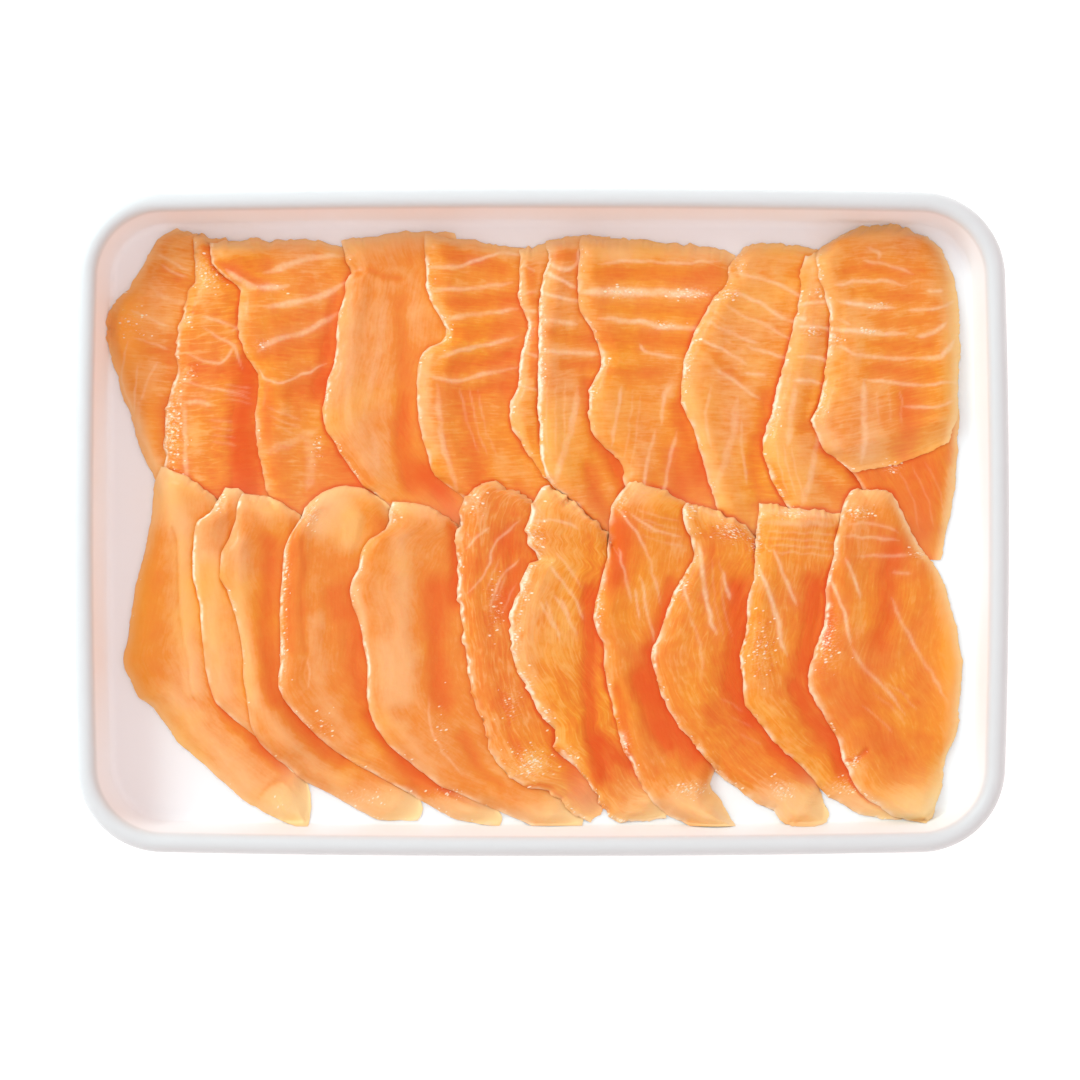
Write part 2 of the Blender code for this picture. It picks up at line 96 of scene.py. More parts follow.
@dataclass(frozen=True)
class TraySizes:
    """Outside sizes of the foam tray."""

    length: float = 240.0
    width: float = 171.3
    height: float = 22.42
    corner: float = 22.0
    bow: float = 1.0
    foam: float = 2.4
    lip_radius: float = 2.5
    fillet: float = 2.4
    draft: float = math.radians(7.0)

    def straight(self) -> tuple[float, float]:
        """Half lengths of the straight parts of the long and the short sides."""
        return self.length / 2 - self.bow - self.corner, self.width / 2 - self.bow - self.corner

    def inset(self, x: Array, y: Array) -> Array:
        """How far places lie inside the tray's outer edge, seen from above.

        Args:
            x, y: places on the tray.

        Returns:
            The inset of each place.
        """
        straight_x, straight_y = self.straight()
        bow_x = self.bow * np.clip(1.0 - (y / straight_y) ** 2, 0.0, 1.0)
        bow_y = self.bow * np.clip(1.0 - (x / straight_x) ** 2, 0.0, 1.0)
        past_x = np.abs(x) - (straight_x + bow_x)
        past_y = np.abs(y) - (straight_y + bow_y)
        round_part = np.hypot(np.maximum(past_x, 0.0), np.maximum(past_y, 0.0))
        flat_part = np.minimum(np.maximum(past_x, past_y), 0.0)
        return self.corner - round_part - flat_part

    def lip_end(self) -> tuple[float, float]:
        """(inset, height) where the rolled lip meets the inner wall."""
        inset = self.lip_radius * (1.0 + math.cos(self.draft))
        return inset, self.height - self.lip_radius * (1.0 - math.sin(self.draft))

    def fillet_centre(self) -> float:
        """Inset of the line where the floor becomes flat.

        Returns:
            The inset in millimetres.
        """
        lip_inset, lip_height = self.lip_end()
        top = self.foam + self.fillet * (1.0 - math.sin(self.draft))
        run = (lip_height - top) * math.tan(self.draft)
        return lip_inset + run + self.fillet * math.cos(self.draft)

    def floor_height(self, inset: Array) -> Array:
        """Height of the tray's inner surface at an inset, up to the rim.

        Args:
            inset: distance in from the outer edge.

        Returns:
            The height of the surface above the table.
        """
        centre = self.fillet_centre()
        wall_foot = centre - self.fillet * math.cos(self.draft)
        foot_height = self.foam + self.fillet * (1.0 - math.sin(self.draft))
        past = np.clip(centre - inset, 0.0, self.fillet * math.cos(self.draft))
        curve = self.foam + self.fillet - np.sqrt(self.fillet ** 2 - past ** 2)
        wall = foot_height + (wall_foot - inset) / math.tan(self.draft)
        return np.where(inset < wall_foot, np.minimum(wall, self.height), curve)


@dataclass(frozen=True)
class Look:
    """Shape and look of one slice.

    A path is x and y of each place that it passes, in turn. The two edges are in millimetres from
    the middle of the tray, and strokes, patches and shine are in the photograph's pixels. A stroke
    is (half width in millimetres, what it adds along its middle, path, path...), and a patch is
    (x, y, half width, half height, what it adds at its middle).

    Attributes:
        left: path of the left cut edge, from the head to the tip.
        right: path of the right edge.
        crown: how far the middle of the head stands out past its two corners, in millimetres.
        ragged: how rough the cut edge is, in millimetres.
        tone: 0 for plain orange, above for paler and below for deeper flesh.
        grain: how strongly the fine flakes show, from 0 to 1.
        shade: how deep the painted shade gets beside the slice that lies on it.
        crosswise: 1 where the fine fibres run across the slice, 0 where they run along it.
        golden: how golden the flesh is, from 0 to 1.
        rim: how pale the left cut edge is: a painted highlight, with beads and painted glints.
        tip: how far the thin tip lets the tray show through, as painted light.
        soft_left: whether the left edge thins out onto the tray instead of being a cut edge.
        fat: strokes of fat.
        bands: broad strokes of paler or deeper flesh, raised where pale and sunk where deep, partly painted
            light and shade.
        spots: patches of paler or deeper flesh, partly painted highlight and painted shade.
        wet: patches with beads of moisture, painted glints and painted haze.
        shine: (first, last) y where the left cut edge shines white.
        glow: patches of painted golden light on the flesh.
    """

    left: tuple
    right: tuple
    crown: float
    ragged: float = 0.3
    tone: float = 0.0
    grain: float = 0.5
    shade: float = 0.6
    crosswise: float = 0.0
    golden: float = 0.35
    rim: float = 0.4
    tip: float = 0.3
    soft_left: bool = False
    fat: tuple = ()
    bands: tuple = ()
    spots: tuple = ()
    wet: tuple = ()
    shine: tuple = ()
    glow: tuple = ()


def comb(path: tuple, shift: tuple, count: int, width: float = 0.35, amount: float = 0.25) -> tuple:
    """Makes faint strokes of fat side by side.

    Args:
        path: the first stroke's path.
        shift: (x, y) from each stroke to the next, in pixels.
        count: how many strokes.
        width: half width of the strokes in millimetres.
        amount: how pale they are.

    Returns:
        The strokes.
    """
    step = np.tile(shift, len(path) // 2)
    return ((width, amount, *(np.array(path) + step * number for number in range(count))),)


# ---------------- the slices of each row, from left to right

UPPER_ROW = (
    Look(left=(-94, 76.5, -99.5, 73.5, -103.5, 67, -107, 61, -111, 57, -112.5, 51.5, -112, 45.5,
            -110.5, 39.5, -109, 33.5, -106.5, 27, -103.5, 18.5, -100, 10, -95, 2),
        right=(-86.5, 73.5, -79, 60, -75.5, 47, -74.5, 31.5, -75, 18.5, -72, 2), crown=1,
        ragged=0.35, tone=0.35, golden=0.2, grain=0.6, shade=0.5, crosswise=1, rim=0.1, soft_left=True,
        fat=((0.4, 0.5, (155, 253, 168, 259, 185, 269), (158, 263, 172, 270, 184, 275),
            (128, 308, 148, 318, 166, 326), (132, 337, 150, 342, 166, 349),
            (127, 340, 121, 360, 118, 374, 124, 396, 131, 415), (135, 365, 133, 390, 130, 414),
            (155, 362, 145, 380, 139, 402)), (0.9, 0.35, (138, 400, 135, 420, 146, 450, 155, 470),
            (150, 288, 168, 298, 187, 301))),
        bands=((2.2, -0.5, (169, 345, 170, 375, 163, 420), (150, 265, 185, 277), (140, 345, 160, 352)),
            (1.6, 0.9, (112, 305, 107, 330, 112, 362, 124, 398, 142, 440, 153, 470)),
            (2.4, -0.3, (150, 400, 155, 440, 162, 470))),
        wet=((128, 322, 18, 14, 0.25),),
        glow=((122, 320, 22, 80, 0.8), (148, 440, 10, 50, 0.5))),
    Look(left=(-90, 74, -90, 69.5, -90, 63, -91.5, 60, -93, 55, -94, 50, -94.5, 42.5, -95, 36.5, -97, 30,
            -98, 24.5, -98, 17, -97.5, 12.5, -94, 5.5, -88, -4),
        right=(-76.5, 72.5, -66, 60, -62, 44.5, -62, 31.5, -63, 13.5, -62, -4), crown=0.5,
        ragged=0.5, tone=-0.05, grain=0.8, crosswise=1, rim=0.35,
        fat=((0.45, 0.55, (200, 314, 222, 322, 240, 330), (231, 331, 238, 324, 246, 317),
            (200, 326, 216, 335, 232, 345, 236, 355, 240, 368),
            (232, 342, 228, 353, 218, 361, 203, 361, 184, 352), (175, 377, 192, 384, 215, 388, 246, 396)),
            (0.75, 0.6, (184, 404, 184, 440, 185, 490), (184, 402, 197, 402, 209, 405)))
            + comb((222, 384, 250, 388), (0, 5), 4) + comb((208, 418, 232, 421), (1, 8), 4),
        bands=((3.6, -1.8, (244, 372, 242, 410, 242, 450, 247, 490)),
            (1.8, -0.8, (206, 248, 212, 262, 226, 274)), (1.6, -0.6, (232, 440, 236, 488)),
            (2.4, 0.35, (200, 285, 205, 310), (195, 430, 196, 480)), (1.6, -0.5, (196, 366, 225, 374))),
        spots=((204, 272, 16, 14, 0.7),),
        wet=((170, 425, 10, 40, 1), (205, 272, 16, 16, 0.7), (187, 318, 4, 6, 1), (188, 372, 6, 6, 0.7)),
        shine=((305, 352), (372, 392), (400, 466))),
    Look(left=(-86, 72.5, -85, 67, -82, 63.5, -78, 60, -78.5, 51, -77.5, 45.5, -75, 40.5, -73.5, 37.5,
            -74, 29, -73.5, 20.5, -72, 13, -70.5, 7, -64, -5),
        right=(-51, 72.5, -44, 60, -45.5, 47, -45.5, 34, -43.5, 21, -40, 11, -33, -5), crown=1,
        tone=0.05, golden=0.2, crosswise=1, rim=0.25,
        fat=((1, 0.75, (224, 268, 240, 280, 262, 287, 288, 284),
            (264, 306, 285, 303, 305, 299, 325, 292, 344, 280)), (0.95, 0.65, (256, 350, 275, 339, 300, 332,
            320, 322, 337, 311), (262, 272, 290, 262, 312, 255, 344, 254)), (0.4, 0.7, (257, 370, 264, 379,
            283, 382, 304, 373, 326, 362)), (1.5, 0.35, (262, 452, 285, 444, 300, 437, 318, 428),
            (303, 430, 310, 462, 306, 490))) + comb((265, 405, 300, 420), (3, 9), 3),
        bands=((2.6, -0.55, (236, 262, 265, 262), (262, 352, 320, 344), (290, 392, 320, 382)),
            (2, -0.9, (334, 300, 330, 335, 322, 372, 316, 396)), (2.2, -0.6, (263, 385, 267, 430)),
            (2, -0.35, (268, 320, 310, 312), (275, 460, 280, 490), (335, 440, 352, 480)),
            (1.4, -0.8, (210, 250, 222, 262, 262, 283))),
        spots=((318, 405, 8, 16, 0.35), (240, 247, 24, 5, 0.5)),
        wet=((262, 344, 6, 5, 1), (316, 447, 4, 9, 1), (270, 286, 16, 4, 0.3)),
        shine=((232, 250), (262, 272))),
    Look(left=(-52, 73.5, -50.5, 68, -49, 65, -50.5, 63, -51.5, 57.5, -53, 52, -53.5, 43.5, -55.5, 35.5,
            -56.5, 27.5, -56, 24.5, -54, 21, -50, 15, -46.5, 10, -43, 7.5, -36, 0.5, -30, -4),
        right=(-22.5, 75, -19, 62.5, -18.5, 49.5, -20.5, 36.5, -20.5, 24, -15.5, 12, -8, -4), crown=1,
        ragged=0.2, tone=0.3, golden=0, grain=0.2, shade=0.4, rim=0.5,
        fat=((0.9, 0.22, (381, 300, 379, 340, 370, 382, 362, 420)),
            (1.2, 0.2, (352, 300, 350, 350, 346, 400, 350, 440), (372, 430, 378, 470))),
        bands=((3, -0.55, (400, 300, 404, 360, 405, 420, 410, 480)),
            (3, -1.3, (425, 475, 445, 498, 455, 515)), (2.2, -0.6, (404, 400, 402, 450, 410, 490),
            (420, 470, 440, 492)), (1, -0.5, (338, 254, 350, 262, 357, 273), (370, 267, 384, 274, 400, 278)),
            (3, 0.25, (350, 320, 345, 400, 370, 460)), (1.6, -0.4, (340, 446, 366, 482))),
        spots=((410, 315, 10, 18, 0.45), (352, 240, 12, 6, 0.9), (400, 256, 36, 10, -0.25)),
        wet=((333, 358, 4, 8, 1), (325, 392, 4, 12, 1)),
        shine=((298, 338), (348, 366), (372, 418))),
    Look(left=(-30, 74.5, -30, 66, -29.5, 59.5, -26.5, 53.5, -24.5, 49.5, -26, 46.5, -28.5, 45.5, -31, 43.5,
            -32, 39.5, -32, 31, -31, 24, -29.5, 17.5, -28, 12.5, -20, 6.5, -12, -1, -8, -4.5),
        right=(-2, 70, -0.5, 60, 2, 47, 1, 34, 2, 21, 7.5, 11, 16, -4.5), crown=1,
        ragged=0.25, crosswise=1, rim=0.5,
        fat=((0.6, 0.8, (427, 266, 458, 265, 480, 257, 500, 252, 522, 253)),
            (0.7, 0.6, (429, 290, 470, 287, 512, 281), (446, 318, 480, 313, 518, 308),
            (437, 359, 458, 350, 490, 342, 518, 335), (424, 374, 440, 378, 456, 381, 480, 374, 517, 366)),
            (0.9, 0.5, (436, 384, 439, 415, 443, 445, 451, 470, 456, 492)))
            + comb((460, 385, 466, 420, 478, 452), (9, 2), 3),
        bands=((2, -0.6, (448, 248, 500, 268), (452, 303, 516, 296), (455, 332, 510, 324),
            (452, 366, 512, 354), (462, 392, 512, 384)), (2.4, -0.45, (466, 410, 470, 445, 478, 470),
            (440, 482, 458, 500)), (2, 0.6, (434, 300, 444, 330), (428, 352, 422, 380, 424, 420, 432, 450))),
        spots=((503, 465, 10, 18, 0.45), (524, 472, 12, 14, 0.35)),
        wet=((428, 291, 5, 12, 1), (444, 330, 5, 12, 0.8), (421, 353, 5, 6, 0.9), (427, 265, 5, 4, 0.9)),
        shine=((262, 304), (312, 342), (350, 372), (392, 410))),
    Look(left=(-5.5, 70.5, -6, 58.5, -3.5, 51.5, -5, 45.5, -5.5, 39.5, -6.5, 34.5, -8.5, 29, -8, 25.5,
            -5.5, 21, -3, 17, 0, 12.5, 3.5, 9, 12, -4.5),
        right=(9.5, 72, 8, 57.5, 7.5, 44.5, 7, 31.5, 9, 21, 15, 11, 25, -4.5), crown=1,
        ragged=0.4, tone=0.45, crosswise=1, rim=0.6,
        fat=((0.5, 0.5, (520, 262, 536, 270), (516, 292, 538, 291), (518, 308, 538, 312),
            (522, 350, 538, 356), (516, 384, 538, 390)), (1, 0.4, (523, 452, 526, 480, 533, 502, 537, 518),
            (545, 462, 556, 486))),
        bands=((1.6, -0.6, (532, 266, 534, 300), (532, 320, 534, 372)), (1.6, -0.5, (530, 430, 540, 470)),
            (2, 0.5, (505, 440, 515, 470, 530, 495)), (1.6, 0.4, (519, 380, 518, 420, 530, 450))),
        wet=((516, 286, 4, 8, 1), (525, 330, 4, 14, 1), (518, 378, 4, 14, 1), (509, 407, 4, 8, 1)),
        shine=((262, 300), (318, 392), (402, 416))),
    Look(left=(1.5, 73.5, 1.5, 67, 0, 62, -0.5, 53.5, -0.5, 39.5, -0.5, 25.5, 0.5, 14, 2.5, 10.5, 9, 4.5,
            13, -1.5, 18.5, -9),
        right=(18, 74.5, 19, 62.5, 22.5, 49.5, 23.5, 36.5, 25.5, 24, 30.5, 11, 39.5, -7), crown=0.5,
        ragged=0.25, tone=0.3, grain=0.4, crosswise=1, rim=0.9,
        fat=((0.6, 0.8, (546, 248, 550, 262, 560, 267, 572, 266, 578, 258, 580, 246),
            (544, 270, 558, 277, 577, 286), (541, 292, 560, 296, 583, 302)),
            (0.7, 0.7, (541, 319, 560, 321, 578, 323), (541, 351, 575, 351, 599, 354)),
            (1.1, 0.5, (578, 386, 573, 420, 563, 455, 553, 486))) + comb((548, 376, 546, 420, 547, 450),
            (9, 2), 3),
        bands=((1.8, -0.55, (556, 254, 574, 254), (552, 336, 590, 338), (566, 362, 597, 362)),
            (2, -0.7, (587, 385, 590, 420, 600, 448, 618, 470), (612, 452, 622, 490)),
            (2.4, -0.8, (588, 470, 598, 500, 610, 520)), (2.4, 0.3, (556, 410, 552, 450))),
        spots=((545, 248, 7, 8, 1),),
        wet=((541, 375, 4, 16, 1), (541, 320, 4, 30, 0.7), (545, 250, 5, 6, 0.8)),
        shine=((272, 480),)),
    Look(left=(10, 73.5, 9.5, 67, 9.5, 57.5, 12, 52, 14.5, 47, 16, 42, 13.5, 36, 12, 31, 13, 25.5,
            14.5, 21.5, 18.5, 18, 21.5, 14, 21.5, 10, 25.5, 2, 29, -5),
        right=(50, 70, 52, 60, 50, 47, 48, 34, 48.5, 21, 51.5, 11, 57, -4), crown=1.5,
        ragged=0.35, tone=0.15, golden=0.5, grain=0.4, shade=0.9, crosswise=1, rim=0.45,
        fat=((1.35, 1, (580, 291, 620, 291, 665, 291, 710, 293)),
            (0.8, 0.95, (598, 318, 640, 320, 662, 325, 702, 327)), (0.5, 0.6, (640, 343, 649, 352, 682, 357),
            (598, 262, 640, 259, 680, 261, 722, 258)), (0.6, 0.55, (622, 385, 618, 412, 611, 446),
            (656, 428, 649, 458, 643, 492), (672, 384, 665, 396, 661, 424), (678, 430, 668, 470, 664, 496)))
            + comb((634, 390, 629, 430, 624, 462), (8, 4), 2),
        bands=((2.6, -0.55, (600, 273, 660, 274, 716, 274), (606, 336, 650, 338, 690, 340)),
            (2, -0.4, (604, 304, 650, 307, 694, 309), (612, 370, 660, 372)),
            (2.6, -0.7, (682, 405, 690, 440, 700, 480), (672, 450, 680, 500)),
            (2.4, 0.25, (606, 400, 608, 430), (640, 440, 636, 490))),
        spots=((620, 251, 18, 8, 1.4), (690, 252, 36, 6, 0.6), (671, 390, 6, 10, 0.6)),
        wet=((622, 291, 18, 5, 0.9), (690, 292, 18, 5, 1), (664, 324, 12, 4, 0.7), (601, 362, 6, 8, 1),
            (592, 390, 4, 12, 0.9)),
        shine=((352, 386), (388, 412))),
    Look(left=(52.5, 71.5, 49, 66.5, 48, 61.5, 45, 58.5, 42.5, 54, 40, 49.5, 37.5, 43, 36.5, 34.5, 37, 29.5,
            39.5, 23.5, 42.5, 14, 44.5, 6.5, 48, -1.5, 50.5, -8),
        right=(75, 69.5, 79, 57.5, 73, 44.5, 70.5, 31.5, 70.5, 18.5, 72.5, 8.5, 75.5, -7), crown=1.5,
        tone=0.35, golden=0.65, shade=0.9, crosswise=1, rim=0.7,
        fat=((0.55, 0.65, (735, 270, 760, 277, 786, 285, 812, 300), (728, 288, 758, 299, 784, 316, 802, 320),
            (722, 300, 745, 315, 770, 325, 792, 339), (702, 318, 740, 335, 760, 342),
            (698, 338, 730, 352, 748, 364), (748, 344, 770, 352, 788, 356), (715, 368, 736, 380, 762, 399),
            (745, 371, 768, 375)), (1.1, 0.4, (738, 395, 735, 430, 726, 460, 716, 492)),
            (0.5, 0.4, (742, 420, 744, 452, 748, 484), (712, 385, 706, 420, 712, 450)))
            + comb((706, 304, 730, 320), (6, 11), 4),
        bands=((2.2, 0.8, (688, 392, 696, 430, 704, 462, 716, 500)),
            (2.2, -0.75, (757, 440, 754, 470, 758, 500), (768, 395, 764, 430)),
            (1.8, -0.4, (705, 345, 730, 366, 745, 380), (800, 268, 790, 278)),
            (1.4, -0.7, (733, 266, 726, 282))),
        wet=((727, 293, 12, 6, 1), (688, 362, 4, 14, 1), (694, 338, 5, 6, 0.9), (740, 262, 6, 8, 0.6)),
        shine=((328, 378), (392, 410))),
    Look(left=(68.5, 69.5, 67, 60, 65, 50.5, 63.5, 42.5, 61.5, 35.5, 59.5, 27, 57.5, 21.5, 57.5, 18.5,
            59.5, 13, 61.5, 8.5, 63.5, 5, 67.5, -2, 70, -7),
        right=(82, 70, 82.5, 57.5, 81.5, 44.5, 81, 31.5, 82.5, 18.5, 87.5, 5.5, 94, -6), crown=1,
        ragged=0.35, tone=0.5, golden=0.65, shade=0.9, crosswise=1, rim=0.7,
        fat=((0.6, 0.7, (798, 303, 815, 302, 834, 300), (797, 325, 815, 326, 838, 329),
            (798, 355, 815, 356, 830, 362), (794, 380, 824, 382), (798, 316, 808, 318)),
            (1, 0.5, (796, 384, 793, 415, 788, 446), (819, 430, 815, 462, 808, 490, 802, 506)))
            + comb((776, 440, 782, 470, 790, 496), (8, 2), 3),
        bands=((2, 0.6, (780, 400, 773, 430, 778, 462)), (1.8, -0.8, (772, 468, 784, 496),
            (822, 448, 842, 466, 858, 480)), (2.2, -0.45, (822, 480, 840, 492), (806, 396, 804, 430)),
            (1.4, -0.5, (808, 268, 802, 284))),
        wet=((821, 291, 6, 5, 1), (814, 331, 9, 4, 0.9), (775, 408, 4, 26, 0.9)),
        shine=((330, 350), (384, 446))),
    Look(left=(79.5, 69, 78.5, 57.5, 77.5, 47, 77, 36.5, 76.5, 26.5, 78.5, 17.5, 82.5, 10, 85.5, 5.5,
            90, -6),
        right=(101.5, 67, 105.5, 54.5, 107.5, 42, 108.5, 31.5, 108.5, 22.5, 108, 13.5, 106.5, 3, 104, -10),
            crown=1,
        ragged=0.25, tone=-0.35, grain=0.3, shade=0.5, rim=0.3, tip=0.1,
        fat= comb((900, 468, 915, 500, 922, 530), (14, -4), 3, amount=0.15),
        bands=((3, -0.4, (925, 470, 928, 500, 922, 535)), (1.4, 0.5, (956, 470, 948, 520))),
        spots=((800, 252, 8, 8, 0.4), (830, 440, 12, 14, 0.3)),
        wet=((896, 467, 8, 5, 0.9),)),
    Look(left=(76.5, 74, 72.5, 71, 71, 67, 73, 61, 74.5, 54.5, 74.5, 47, 74, 40.5, 73, 35, 71.5, 30, 70, 26,
            72, 21, 73.5, 18.5, 77, 16, 81, 13),
        right=(100.5, 74.5, 105, 69.5, 107.5, 63, 108.5, 56, 109, 48, 108.5, 39, 108.5, 30, 106, 20.5),
            crown=3,
        tone=0.22, golden=0.7, crosswise=1, rim=0.6, tip=0.1,
        fat=((0.75, 0.9, (838, 300, 860, 303, 880, 306, 898, 308), (830, 328, 860, 331, 885, 333, 910, 333),
            (918, 335, 935, 332, 948, 320), (918, 357, 940, 356, 948, 350, 958, 338)),
            (0.55, 0.6, (836, 285, 850, 282, 880, 280, 909, 285),
            (838, 346, 850, 350, 862, 355, 895, 357, 925, 358), (862, 378, 895, 382, 925, 384, 960, 382),
            (903, 405, 935, 407, 956, 400), (868, 244, 879, 251, 881, 259), (866, 260, 890, 264, 916, 273),
            (928, 289, 946, 289), (910, 309, 940, 307, 958, 299), (839, 319, 852, 324)),
            (1, 0.6, (866, 380, 864, 402, 866, 430, 863, 464))) + comb((878, 388, 880, 425), (12, 0), 3),
        bands=((2.2, -0.5, (850, 270, 920, 268), (858, 292, 920, 296), (886, 318, 935, 320),
            (872, 344, 930, 345), (872, 369, 935, 371)), (3.2, -0.9, (908, 395, 910, 425, 905, 452)),
            (2, 0.7, (952, 290, 956, 330, 957, 380, 955, 430), (826, 392, 824, 425, 836, 452)),
            (2.4, 0.45, (876, 436, 872, 468))),
        spots=((880, 226, 34, 10, 0.8), (860, 325, 10, 40, 0.4), (922, 408, 18, 16, -0.45),
            (950, 340, 8, 30, 0.4), (826, 252, 10, 10, 0.5)),
        wet=((884, 305, 9, 3, 1), (872, 331, 10, 3, 0.9), (822, 398, 5, 20, 1), (838, 338, 6, 6, 0.8),
            (896, 466, 10, 4, 0.7)),
        shine=((300, 345), (380, 428))),
)

